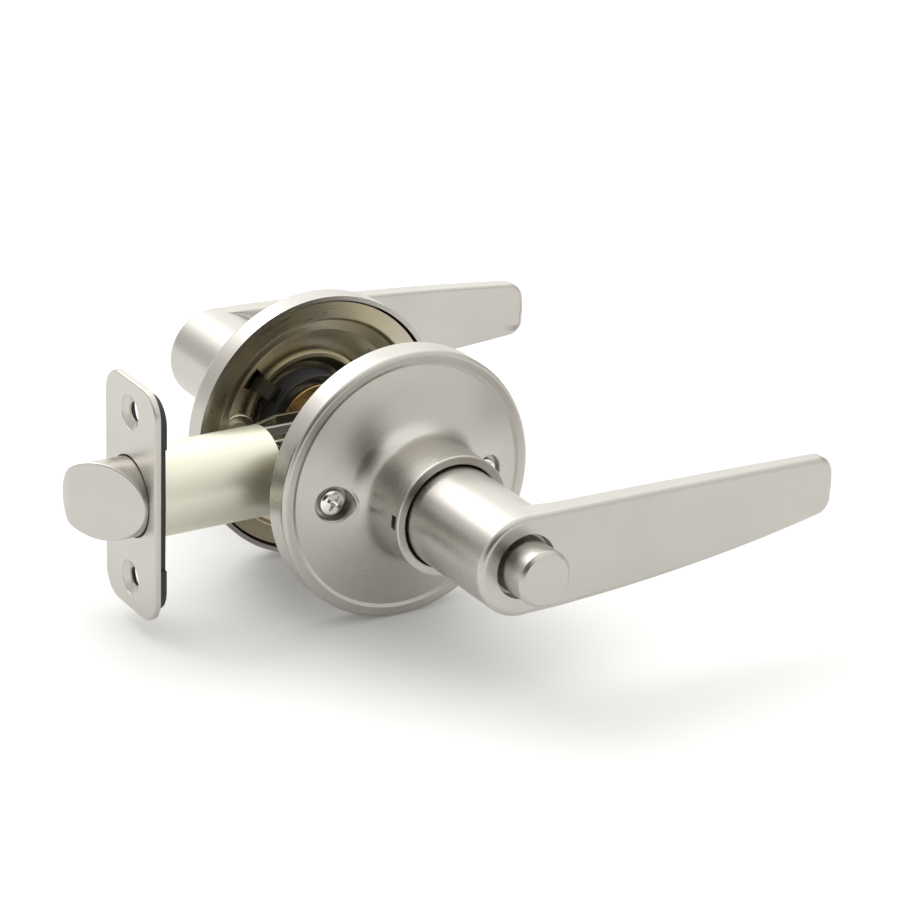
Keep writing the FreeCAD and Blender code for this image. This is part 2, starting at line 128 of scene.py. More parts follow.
class LeverSetSizes(bpy.types.PropertyGroup):
    """Sizes of the trim and the latch."""

    rose_radius: FloatProperty(
        name="Rose radius", description="Outside radius of the round roses",
        default=node_size("interior_rose", 0) / 2, unit="LENGTH")
    rim_height: FloatProperty(
        name="Rim height", description="Height of the rose's rim above the door", default=0.0065, unit="LENGTH")
    cove_radius: FloatProperty(
        name="Cove radius", description="Radius of the hollow fillet round the collar", default=0.006, unit="LENGTH")
    collar_height: FloatProperty(
        name="Collar height", description="Height of the rose's collar above the door",
        default=0.0265, unit="LENGTH")
    rim_round: FloatProperty(
        name="Rim rounding", description="Rounding of the rose's front edge", default=0.0011, unit="LENGTH")
    shank_radius: FloatProperty(
        name="Shank radius", description="Radius of the lever's round shank", default=0.0122, unit="LENGTH")
    edge_round: FloatProperty(
        name="Lever edge rounding", description="Rounding of the edge round the lever's front face",
        default=0.0014, unit="LENGTH")
    root_fillet: FloatProperty(
        name="Root fillet", description="Hollow rounding where the blade leaves the shank",
        default=0.0034, unit="LENGTH")
    button_radius: FloatProperty(
        name="Button radius", description="Radius of the privacy button", default=0.00668, unit="LENGTH")
    button_bevel: FloatProperty(
        name="Button bevel", description="Bevel round the button's end", default=0.0008, unit="LENGTH")
    faceplate_width: FloatProperty(
        name="Faceplate width", description="Width of the plate on the door's edge",
        default=node_size("faceplate", 1), unit="LENGTH")
    faceplate_length: FloatProperty(
        name="Faceplate length", description="Length of the plate on the door's edge",
        default=node_size("faceplate", 2), unit="LENGTH")
    faceplate_corner: FloatProperty(
        name="Faceplate corner", description="Corner radius of the faceplate", default=0.00635, unit="LENGTH")
    bolt_radius: FloatProperty(
        name="Bolt radius", description="Radius of the spring bolt", default=0.0095, unit="LENGTH")
    tube_radius: FloatProperty(
        name="Tube radius", description="Outside radius of the latch tube",
        default=node_size("latch_tube", 1) / 2, unit="LENGTH")


class LeverSetFinishes(bpy.types.PropertyGroup):
    """Colours and gloss of the finishes."""

    nickel: FloatVectorProperty(
        name="Satin nickel", description="Colour of the brushed nickel trim", subtype="COLOR", size=3,
        default=(0.512, 0.493, 0.456), min=0, max=1)
    nickel_roughness: FloatProperty(
        name="Nickel roughness", description="Blur of the reflections in the brushed nickel", default=0.31,
        min=0, max=1, subtype="FACTOR")
    screw_nickel: FloatVectorProperty(
        name="Bright nickel", description="Colour of the screws", subtype="COLOR", size=3,
        default=(0.70, 0.68, 0.64), min=0, max=1)
    yellow_zinc: FloatVectorProperty(
        name="Yellow zinc", description="Colour of the passivated mounting plates", subtype="COLOR", size=3,
        default=(0.50, 0.465, 0.375), min=0, max=1)
    pale_zinc: FloatVectorProperty(
        name="Pale zinc", description="Colour of the latch tube", subtype="COLOR", size=3,
        default=(0.60, 0.57, 0.47), min=0, max=1)
    steel: FloatVectorProperty(
        name="Zinc plated steel", description="Colour of the spindle and the latch works", subtype="COLOR",
        size=3, default=(0.50, 0.49, 0.46), min=0, max=1)
    brass: FloatVectorProperty(
        name="Brass", description="Colour of the drive plates", subtype="COLOR", size=3,
        default=(0.66, 0.47, 0.22), min=0, max=1)
    black_spring: FloatVectorProperty(
        name="Oiled spring", description="Colour of the blackened return springs", subtype="COLOR", size=3,
        default=(0.085, 0.082, 0.080), min=0, max=1)
    nylon: FloatVectorProperty(
        name="Nylon", description="Colour of the bushes", subtype="COLOR", size=3,
        default=(0.11, 0.10, 0.09), min=0, max=1)
    black_plastic: FloatVectorProperty(
        name="Black plastic", description="Colour of the seat behind the faceplate", subtype="COLOR", size=3,
        default=(0.006, 0.006, 0.007), min=0, max=1)


class LeverSetStage(bpy.types.PropertyGroup):
    """Floor, lights and camera."""

    floor: FloatVectorProperty(
        name="Floor", description="Colour of the floor", subtype="COLOR", size=3, default=(0.79, 0.79, 0.79),
        min=0, max=1)
    sky_strength: FloatProperty(
        name="Studio strength", description="Brightness of the soft studio all round", default=1.14, min=0)
    key_power: FloatProperty(
        name="Key light", description="Power of the large light above and behind", default=4.5, min=0,
        unit="POWER")
    lens: FloatProperty(name="Lens", description="Focal length of the camera, in mm", default=125.93, min=1)


# ---------------------------------------------------------------- grids

def at(side, h):
    """y of a height above the door's face: side * (HALF + h)."""
    return side * (HALF + h)


def rounded(corners, closed=False, steps=6):
    """Polyline of (u, v, radius) corners with each corner replaced by an arc.

    An arc of radius r in a corner of half angle w starts r / tan(w) before the corner, and its centre lies
    r / sin(w) along the bisector. A guard point stands just outside each end, so that shading stays flat
    on the runs.
    """
    rows = np.array(corners, float)
    here, radius = rows[:, :2], rows[:, 2].copy()
    if not closed:
        radius[[0, -1]] = 0
    back = np.roll(here, 1, 0) - here
    ahead = np.roll(here, -1, 0) - here
    back_length = np.maximum(np.linalg.norm(back, axis=1), 1e-9)
    ahead_length = np.maximum(np.linalg.norm(ahead, axis=1), 1e-9)
    back /= back_length[:, None]
    ahead /= ahead_length[:, None]
    half = np.arccos(np.clip((back * ahead).sum(1), -1 + 1e-9, 1 - 1e-9)) / 2
    cut = np.minimum(radius / np.tan(half), 0.46 * np.minimum(back_length, ahead_length))
    radius = cut * np.tan(half)
    bisector = back + ahead
    bisector /= np.maximum(np.linalg.norm(bisector, axis=1), 1e-9)[:, None]
    centre = here + bisector * (radius / np.sin(half))[:, None]
    start = here + back * cut[:, None] - centre
    end = here + ahead * cut[:, None] - centre
    sweep = np.maximum(math.pi - 2 * half, 1e-6)[:, None, None]
    t = np.linspace(0, 1, steps + 1)[None, :, None]
    arc = (np.sin((1 - t) * sweep) * start[:, None] + np.sin(t * sweep) * end[:, None]) / np.sin(sweep)
    guard = np.minimum(0.12, 0.3 * cut)
    before = (here + back * (cut + guard)[:, None])[:, None]
    after = (here + ahead * (cut + guard)[:, None])[:, None]
    return np.concatenate([before, centre[:, None] + arc, after], axis=1).reshape(-1, 2)


def arc_through(a, b, c, count):
    """Points from a to c on the circle through a, b and c, evenly spaced in angle."""
    a, b, c = (np.array(p, float) for p in (a, b, c))
    matrix = 2 * np.array([b - a, c - a])
    centre = np.linalg.solve(matrix, [b @ b - a @ a, c @ c - a @ a])
    radius = np.linalg.norm(a - centre)
    start, middle, end = (math.atan2(*(p - centre)[::-1]) for p in (a, b, c))
    turn = (end - start) % (2 * math.pi)
    if (middle - start) % (2 * math.pi) > turn:
        turn -= 2 * math.pi
    angle = start + turn * np.linspace(0, 1, count)
    return centre + radius * np.stack([np.cos(angle), np.sin(angle)], -1)


def resampled(line, spacing, closed=False):
    """Line with extra points so that none of its runs is longer than about the spacing; corners stay."""
    line = np.array(line, float)
    if closed:
        line = np.vstack([line, line[:1]])
    run = np.concatenate([[0], np.cumsum(np.linalg.norm(np.diff(line, axis=0), axis=1))])
    marks = np.unique(np.round(np.concatenate([run, np.arange(0, run[-1], spacing)]), 6))
    keep = np.concatenate([[True], np.diff(marks) > 1e-4])
    marks = marks[keep]
    out = np.stack([np.interp(marks, run, line[:, k]) for k in range(line.shape[1])], -1)
    return out[:-1] if closed else out


def surface(points, close_rows=False, close_columns=True):
    """Grid of points (rows, columns, 3) as a vertex list and quads."""
    rows, columns = points.shape[:2]
    index = np.arange(rows * columns).reshape(rows, columns)
    if close_rows:
        index = np.vstack([index, index[:1]])
    if close_columns:
        index = np.hstack([index, index[:, :1]])
    quads = np.stack([index[:-1, :-1], index[:-1, 1:], index[1:, 1:], index[1:, :-1]], -1)
    return points.reshape(-1, 3), quads.reshape(-1, 4)


def angles(count):
    """Evenly spaced angles of one turn."""
    return np.linspace(0, 2 * math.pi, count, endpoint=False)


def about_y(line, side, count=128, centre=(0.0, 0.0), turn=None):
    """Profile of (r, h) turned about a line along Y: x = r cos a + cx, y = side (HALF + h), z = r sin a + cz."""
    turn = angles(count) if turn is None else turn
    r, h = line[:, :1], line[:, 1:]
    return np.stack([
        centre[0] + r * np.cos(turn), at(side, h) + 0 * turn, centre[1] + r * np.sin(turn)], -1)


def about_x(line, count=128, centre=(0.0, 0.0)):
    """Profile of (r, x) turned about a line along X: y = r cos a + cy, z = r sin a + cz."""
    turn = angles(count)
    r, x = line[:, :1], line[:, 1:]
    return np.stack([x + 0 * turn, centre[0] + r * np.cos(turn), centre[1] + r * np.sin(turn)], -1)


def tube_along(path, radius, sides=12):
    """Round wire along a path: each section is a circle in the plane square to the path's direction.

    The section's first axis is the direction crossed with a fixed axis, and its second completes the frame.
    The first and last sections shrink to a point, so the ends are closed.
    """
    path = np.array(path, float)
    ahead = np.gradient(path, axis=0)
    ahead /= np.linalg.norm(ahead, axis=1)[:, None]
    fixed = np.eye(3)[np.argmin(np.abs(ahead).mean(0))]
    first = np.cross(ahead, fixed)
    first /= np.linalg.norm(first, axis=1)[:, None]
    second = np.cross(ahead, first)
    turn = angles(sides)
    ring = np.cos(turn)[None, :, None] * first[:, None] + np.sin(turn)[None, :, None] * second[:, None]
    inner = 0.8 * radius
    return np.concatenate([
        path[:1, None] + 0 * ring[:1], path[:1, None] + inner * ring[:1], path[:, None] + radius * ring,
        path[-1:, None] + inner * ring[-1:], path[-1:, None] + 0 * ring[-1:]])


def break_edges(piece, width, angle):
    """Small bevel on the edges sharper than an angle in degrees."""
    edge = piece.modifiers.new("Broken edges", "BEVEL")
    edge.width = width * MM
    edge.segments = 2
    edge.limit_method = "ANGLE"
    edge.angle_limit = math.radians(angle)
    edge.harden_normals = True


def put(name, body, parts, materials, nodes, thickness=0.0, bevel=0.0, smooth=38.0):
    """Mesh from one or more (vertices, faces[, material index]) parts in millimetres.

    The parts are joined, coinciding points are merged, and the normals are made to point outwards. The piece
    then rides on a body and stands for its CAD nodes.
    """
    vertices = np.concatenate([p[0] for p in parts]) * MM
    offsets = np.cumsum([0] + [len(p[0]) for p in parts[:-1]])
    faces = np.concatenate([p[1] + start for p, start in zip(parts, offsets)])
    index = np.concatenate([np.broadcast_to(p[2] if len(p) > 2 else 0, len(p[1])) for p in parts])
    mesh = bpy.data.meshes.new(name)
    mesh.from_pydata(vertices, [], faces.tolist())
    mesh.polygons.foreach_set("material_index", index.astype(np.int32))
    shell = bmesh.new()
    shell.from_mesh(mesh)
    bmesh.ops.remove_doubles(shell, verts=shell.verts, dist=2e-6)
    bmesh.ops.recalc_face_normals(shell, faces=shell.faces)
    shell.to_mesh(mesh)
    shell.free()
    for material in materials:
        mesh.materials.append(material)
    mesh.shade_smooth()
    mesh.set_sharp_from_angle(angle=math.radians(smooth))
    piece = bpy.data.objects.new(name, mesh)
    bpy.context.scene.collection.objects.link(piece)
    if thickness:
        wall = piece.modifiers.new("Sheet thickness", "SOLIDIFY")
        wall.thickness = thickness * MM
        wall.offset = 0
        wall.use_even_offset = True
    if bevel:
        break_edges(piece, bevel, 40)
    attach(piece, body)
    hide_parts(*nodes)
    return piece


# ---------------------------------------------------------------- shapes

def side_name(side):
    """Prefix of a side's nodes."""
    return "interior" if side == ROOM else "exterior"


def cove_rows(cove, count):
    """Rows of (r, h) up the cove: an arc from COVE_START to the upright."""
    bend = np.linspace(COVE_START, math.pi / 2, count)
    return np.stack([COVE_CENTRE[0] - cove * np.sin(bend), COVE_CENTRE[1] - cove * np.cos(bend)], -1)


def dish_rows(cove, count):
    """Rows of (r, h) of the shallow dish: a wide arc that runs into the cove without a corner."""
    end_r, end_h = cove_rows(cove, 2)[0]
    wide = DISH_RADIUS + cove - 6.0
    bend = np.linspace(DISH_START, COVE_START, count)
    return np.stack([end_r + wide * (math.sin(COVE_START) - np.sin(bend)),
                     end_h + wide * (math.cos(COVE_START) - np.cos(bend))], -1)


def rose_outside(sizes):
    """Rows of (r, h) from the rim's foot over the flat ring, dish, cove, collar and lip into the bore."""
    rose_r = sizes.rose_radius / MM
    rim = sizes.rim_height / MM
    cove = sizes.cove_radius / MM
    top = sizes.collar_height / MM
    collar_r = COVE_CENTRE[0] - cove
    foot = rounded([
        (rose_r, 0, 0), (rose_r, rim, sizes.rim_round / MM), (30.7, rim, 0.5),
        (29.9, 6.15, 0.5), (28.85, 6.3, 0)], steps=8)
    dish = dish_rows(cove, 36)[:-1]
    wall_h = np.unique(np.round(np.concatenate([
        np.linspace(COVE_CENTRE[1] + 0.4, 23.2, 9), np.linspace(23.4, 25.7, 24)]), 3))
    wall = np.stack([np.full(len(wall_h), collar_r), wall_h], -1)
    lip = rounded([
        (collar_r, top - 0.75, 0), (collar_r, top, 0.6), (COLLAR_BORE, top, 0.35),
        (COLLAR_BORE, NECK_H, 0)], steps=8)
    return np.vstack([foot, dish, cove_rows(cove, 44), wall, lip])


def rose_inside(sizes):
    """Rows of (r, h) from the bore back to the rim's foot, one sheet below the outside."""
    inner = sizes.cove_radius / MM + 1.0
    rose_r = sizes.rose_radius / MM
    curve = np.vstack([cove_rows(inner, 20)[::-1], dish_rows(inner, 12)[::-1][1:]])
    level = curve[-1, 1] - 0.05
    foot = rounded([(29.6, level, 0), (rose_r - 1.1, level, 0.6), (rose_r - 1.1, 0, 0), (rose_r, 0, 0)], steps=4)
    return np.vstack([[(curve[0, 0], NECK_H)], curve, foot])


def collar_slot(points, side):
    """Pushes the collar's wall in where the access slot is, by 1.8 mm inside a rectangle with soft borders."""
    x, y, z = points[..., 0], points[..., 1], points[..., 2]
    h = side * y - HALF
    r = np.hypot(x, z)

    def inside(value, low, high):
        return np.clip((value - low) / 0.08, 0, 1) * np.clip((high - value) / 0.08, 0, 1)
    push = inside(z, *SLOT_Z) * inside(h, *SLOT_H) * (x < 0) * (r > 13.7)
    scale = 1 - 1.8 * push / np.maximum(r, 1e-6)
    return np.stack([x * scale, y, z * scale], -1), push > 0.99


def rose_turns(bolts):
    """Angles of the rose's columns, closer together at the access slot and the edges of the bolt patches."""
    slot = math.pi + np.radians(np.arange(-9.6, 4.2, 0.32))
    rest = angles(220)
    rest = rest[(rest < slot[0] - 0.012) | (rest > slot[-1] + 0.012)]
    turn = np.concatenate([rest, slot])
    if bolts:
        edges = np.array([-PATCH_HALF, PATCH_HALF, math.pi - PATCH_HALF, math.pi + PATCH_HALF]) % (2 * math.pi)
        turn = turn[np.abs(turn[:, None] - edges).min(1) > 0.008]
        turn = np.concatenate([turn, edges])
    return np.sort(turn)


def bolt_patch(side, line, span, turn, centre):
    """Skin of one bolt's dimple between the rows of the rose and the bolt's head.

    The border is the edge of the block that the rose leaves out. Along the profile's length s and the angle a,
    each border point is joined by a straight line to the point of the dimple's edge that lies in the same
    direction. Inside the edge the skin rolls over, goes straight down as a cup and closes at its floor.
    """
    first, last = span
    run = np.concatenate([[0], np.cumsum(np.linalg.norm(np.diff(line, axis=0), axis=1))])
    middle = np.interp(-SCREW_X, -line[first:last + 1, 0], run[first:last + 1])
    s, a = run[first:last + 1], turn - centre
    border = np.vstack([
        np.stack([s, np.full(len(s), a[0])], -1),
        np.stack([np.full(len(a) - 2, s[-1]), a[1:-1]], -1),
        np.stack([s[::-1], np.full(len(s), a[-1])], -1),
        np.stack([np.full(len(a) - 2, s[0]), a[-2:0:-1]], -1)])
    way = np.arctan2(border[:, 1] * SCREW_X, -(border[:, 0] - middle))
    edge_r, cup_r, roll = 4.7, 4.2, 0.5

    def round_edge(radius):
        out, along = radius * np.cos(way), radius * np.sin(way)
        r = np.hypot(SCREW_X + out, along)
        angle = np.arctan2(along, SCREW_X + out)
        return r, angle, np.interp(-r, -line[first:last + 1, 0], line[first:last + 1, 1])
    r, angle, edge_h = round_edge(edge_r)
    edge_s = np.interp(-r, -line[first:last + 1, 0], run[first:last + 1])
    t = np.linspace(0, 1, 15)[:, None] ** 1.3
    row_s = border[:, 0] * (1 - t) + edge_s * t
    row_a = border[:, 1] * (1 - t) + angle * t
    row_r = np.interp(row_s, run, line[:, 0])
    row_h = np.interp(row_s, run, line[:, 1])
    rows = [np.stack([row_r * np.cos(row_a + centre), at(side, row_h), row_r * np.sin(row_a + centre)], -1)]
    floor = 5.6
    quarter = np.linspace(0, math.pi / 2, 6)[1:, None]
    radii = [cup_r + roll * (1 - np.sin(quarter)) + 0 * way]
    heights = [edge_h - np.minimum(roll, 0.6 * (edge_h - floor)) * (1 - np.cos(quarter))]
    low = heights[0][-1]
    t = np.linspace(0, 1, 5)[1:, None]
    radii.append(cup_r + 0 * t * way)
    heights.append(low * (1 - t) + (floor + 0.12) * t)
    radii.append(np.array([[4.16], [4.0], [3.7], [2.0], [0.0]]) + 0 * way)
    heights.append(np.array([[0.04], [0.0], [0.0], [0.0], [0.0]]) + floor + 0 * way)
    radii, heights = np.vstack(radii), np.vstack(heights)
    out, along = SCREW_X + radii * np.cos(way), radii * np.sin(way)
    x = out * math.cos(centre) - along * math.sin(centre)
    z = out * math.sin(centre) + along * math.cos(centre)
    rows.append(np.stack([x, at(side, heights), z], -1))
    return surface(np.concatenate(rows))


def rose_parts(sizes, side):
    """Closed shell of a rose: outside, collar and inside as one turned grid, with skins for the two dimples.

    The room side's grid leaves out a block of cells at each through bolt, and a patch closes it.
    """
    bolts = side == ROOM
    line = rose_outside(sizes)
    turn = rose_turns(bolts)
    whole = np.vstack([line, rose_inside(sizes)])
    grid = about_y(whole, side, turn=turn)
    if bolts:
        x, z = np.abs(grid[..., 0]) - SCREW_X, grid[..., 2]
        under = np.clip((CUP_R - np.hypot(x, z)) / 1.1, 0, 1)
        h = side * grid[..., 1] - HALF
        rows = np.arange(len(whole))[:, None] >= len(line)
        h = np.where(rows, h * (1 - under) + np.minimum(h, 4.6) * under, h)
        grid[..., 1] = at(side, h)
    grid, deep = collar_slot(grid, side)
    vertices, faces = surface(grid, close_rows=True)
    # faces of the slot's pit take the second finish, slot_shadow: a painted shadow
    deep = deep.reshape(-1)[faces].all(1)
    kept = np.ones(len(faces), bool)
    parts = []
    if bolts:
        radius = line[:, 0]
        curve = np.flatnonzero((radius < 27.3) & (radius > 15.2) & (line[:, 1] < 13.5))
        first, last = curve[0], curve[-1]
        row = np.repeat(np.arange(len(whole)), len(turn))
        column = np.tile(np.arange(len(turn)), len(whole))
        for centre in (0.0, math.pi):
            spread = (turn - centre + math.pi) % (2 * math.pi) - math.pi
            block = np.abs(spread) <= PATCH_HALF + 1e-9
            columns = np.flatnonzero(block)
            columns = columns[np.argsort(spread[columns])]
            cell = np.zeros(len(turn), bool)
            cell[columns[:-1]] = True
            kept &= ~(cell[column] & (row >= first) & (row < last))
            parts.append(bolt_patch(side, line, (first, last), spread[columns] + centre, centre))
    return [(vertices, faces[kept], deep[kept].astype(int))] + parts


def blade_outline():
    """Outline of the lever seen along Y, as (x, z): two long arcs, and a rounded end with soft corners."""
    return np.vstack([
        arc_through((0, 12.1), (45, 10.6), (84.6, 8.1), 60),
        arc_through((84.6, 8.1), (88.8, 6.2), (90.0, 3.0), 14)[1:],
        [(90.2, 0.5)],
        arc_through((90.0, -2.0), (89.0, -5.6), (85.8, -7.0), 14),
        arc_through((85.8, -7.0), (50, -10.4), (0, -12.1), 60)[1:]])


def lever_outline(shank_r, spacing):
    """Outline of shank and blade together, with its outward normals, evenly spaced along its length.

    At each angle the outline is the farther of the shank's circle and the blade's outline.
    """
    blade = blade_outline()
    angle = np.arctan2(blade[:, 1], blade[:, 0])[::-1]
    reach = np.hypot(blade[:, 0], blade[:, 1])[::-1]
    turn = np.linspace(-math.pi, math.pi, 24001)
    edge = np.where(np.abs(turn) < math.pi / 2 - 0.01, np.interp(turn, angle, reach), 0)
    radius = np.maximum(edge, shank_r)
    line = radius[:, None] * np.stack([np.cos(turn), np.sin(turn)], -1)
    run = np.concatenate([[0], np.cumsum(np.linalg.norm(np.diff(line, axis=0), axis=1))])
    marks = np.linspace(0, run[-1], int(run[-1] / spacing) + 1)[:-1]
    points = np.stack([np.interp(marks, run, line[:, k]) for k in (0, 1)], -1)
    tangent = np.roll(points, -1, 0) - np.roll(points, 1, 0)
    tangent /= np.linalg.norm(tangent, axis=1)[:, None]
    return points, np.stack([tangent[:, 1], -tangent[:, 0]], -1)


def face_height(x):
    """|y| of the lever's front face: flat over the shank, then a shallow arc towards the tip."""
    arc = arc_through((8, 74.9), (50, 73.0), (90.2, 69.5), 80)
    return np.interp(x, arc[:, 0], arc[:, 1])


def back_height(x):
    """|y| of the blade's back: a shallow arc that narrows the blade towards its tip."""
    arc = arc_through((8, 69.3), (50, 68.0), (90.2, 65.3), 80)
    return np.interp(x, arc[:, 0], arc[:, 1])


def lever_parts(sizes, side, recess_r, recess_h):
    """Closed grid of a lever. Each column goes from the middle of the recess's floor, up its wall, over the front
    face to the outline, round the edge, down the blade's side, in along its back, through the hollow
    fillet onto the shank, down to the foot and up inside to the end of the bore.

    Where the outline is the shank's own circle, the rows of the back fall together and are merged.
    """
    shank = sizes.shank_radius / MM
    edge = sizes.edge_round / MM
    outline, normal = lever_outline(shank, 0.62)
    reach = np.linalg.norm(outline, axis=1)
    unit = outline / reach[:, None]
    spare = np.maximum(reach - shank, 0)[:, None]
    back_edge = np.minimum(1.1, 0.35 * spare)
    fillet = np.minimum(sizes.root_fillet / MM, 0.45 * spare)
    face = face_height(outline[:, :1])
    back = back_height(outline[:, :1])
    ends = 57.45

    def level(points, y):
        y = np.broadcast_to(np.asarray(y, float).reshape(-1, 1), (len(points), 1))
        return np.hstack([points[:, :1], side * y, points[:, 1:]])
    rows = [level(unit * r, HALF + h) for r, h in rounded(
        [(0, recess_h, 0), (recess_r, recess_h, 0.15), (recess_r, ends, 0.22), (recess_r + 0.9, ends, 0)],
        steps=4)]
    inner = unit * (recess_r + 0.9)
    border = outline - normal * (edge + 0.12)
    for t in np.linspace(0, 1, 14)[1:]:
        points = inner * (1 - t) + border * t
        rows.append(level(points, face_height(points[:, :1])))
    for a in np.linspace(0, math.pi / 2, 8):
        points = outline - normal * edge * (1 - math.sin(a))
        rows.append(level(points, face_height(points[:, :1]) - edge * (1 - math.cos(a))))
    for t in (0.05, 0.5, 0.95):
        rows.append(level(outline, (face - edge) * (1 - t) + (back + back_edge) * t))
    for a in np.linspace(0, math.pi / 2, 6):
        points = outline - normal * back_edge * (1 - math.cos(a))
        rows.append(level(points, back + back_edge * (1 - math.sin(a))))
    border = outline - normal * (back_edge + np.minimum(0.1, 0.05 * spare))
    inner = unit * (shank + fillet + np.minimum(0.1, 0.05 * spare))
    for t in np.linspace(0, 1, 12):
        points = border * (1 - t) + inner * t
        rows.append(level(points, back_height(points[:, :1])))
    root = back_height(unit[:, :1] * shank)
    for a in np.linspace(0, math.pi / 2, 8):
        rows.append(level(unit * (shank + fillet * (1 - math.sin(a))), root - fillet * (1 - math.cos(a))))
    rows.append(level(unit * shank, root - fillet - 0.15))
    low = HALF + 17.2
    for t in (0.5, 1.0):
        rows.append(level(unit * shank, (root - fillet - 0.15) * (1 - t) + low * t))
    rows += [level(unit * r, HALF + h) for r, h in rounded([
        (shank, 17.2, 0), (shank, 16.4, 0.35), (11.0, 16.4, 0.2), (11.0, 19.2, 0), (9.05, 19.2, 0.2),
        (9.05, 47.0, 0), (0, 47.0, 0)], steps=4)]
    return [surface(np.stack(rows))]


def button_parts(sizes):
    """Turned button: hollow from behind, flanged, with a bevelled end that is very slightly crowned."""
    r = sizes.button_radius / MM
    bevel = sizes.button_bevel / MM
    crown = np.stack([np.linspace(0, r - bevel, 9)[::-1], 65.45 - 0.10 * np.linspace(0, 1, 9)[::-1] ** 2], -1)
    line = np.vstack([
        rounded([(0, 60.0, 0), (5.0, 60.0, 0.2), (5.0, 52.0, 0.15), (7.5, 52.0, 0.2), (7.5, 54.4, 0.15),
                 (r, 54.4, 0.1), (r, 65.38 - bevel, 0.28), (r - bevel, 65.34, 0.22),
                 (r - bevel - 0.7, 65.36, 0)], steps=5),
        crown[2:]])
    return [surface(about_y(line, ROOM, 160))]


def bolt_head_parts(x):
    """Pan head with a cross recess, and a threaded shank.

    The head's height over the polar grid is a dome less the recess: two crossed slots whose depth falls from
    the middle outwards. The thread is a triangle wave of the height along the shank plus the angle.
    """
    turn = angles(144)
    r = np.concatenate([np.linspace(0, 2.3, 36), np.linspace(2.36, 2.5, 3)])[:, None]
    top = 7.8 - 0.035 * r ** 2
    u, v = r * np.cos(turn + 0.6), r * np.sin(turn + 0.6)

    def arm(along, across):
        width = 0.52 - 0.06 * np.abs(along)
        return np.clip((width - np.abs(across)) / 0.10, 0, 1) * np.clip((1.95 - np.abs(along)) / 0.12, 0, 1)
    cross = np.maximum(arm(u, v), arm(v, u))
    depth = cross * np.clip(1.45 - 0.42 * r, 0, None)
    head = np.stack([x + r * np.cos(turn), at(ROOM, top - depth), r * np.sin(turn)], -1)
    rim = rounded([(2.5, 7.8 - 0.035 * 2.5 ** 2, 0), (3.22, 7.15, 0.7), (3.3, 5.62, 0.1), (2.2, 5.62, 0),
                   (1.95, 5.3, 0)], steps=6)
    rim = about_y(rim[1:], ROOM, turn=turn, centre=(x, 0))
    level = np.linspace(5.2, -18.3, 236)[:, None]
    wave = np.abs(((level / 0.8 + turn / (2 * math.pi)) % 1) * 2 - 1)
    radius = 1.92 - 0.32 * wave
    radius[0], radius[-1] = 1.9, 1.4
    shank = np.stack([x + radius * np.cos(turn), at(ROOM, level) + 0 * turn, radius * np.sin(turn)], -1)
    tip = np.stack([x + 0 * turn, 0 * turn + at(ROOM, -18.35), 0 * turn], -1)[None]
    return [surface(np.concatenate([head, rim, shank, tip]))]


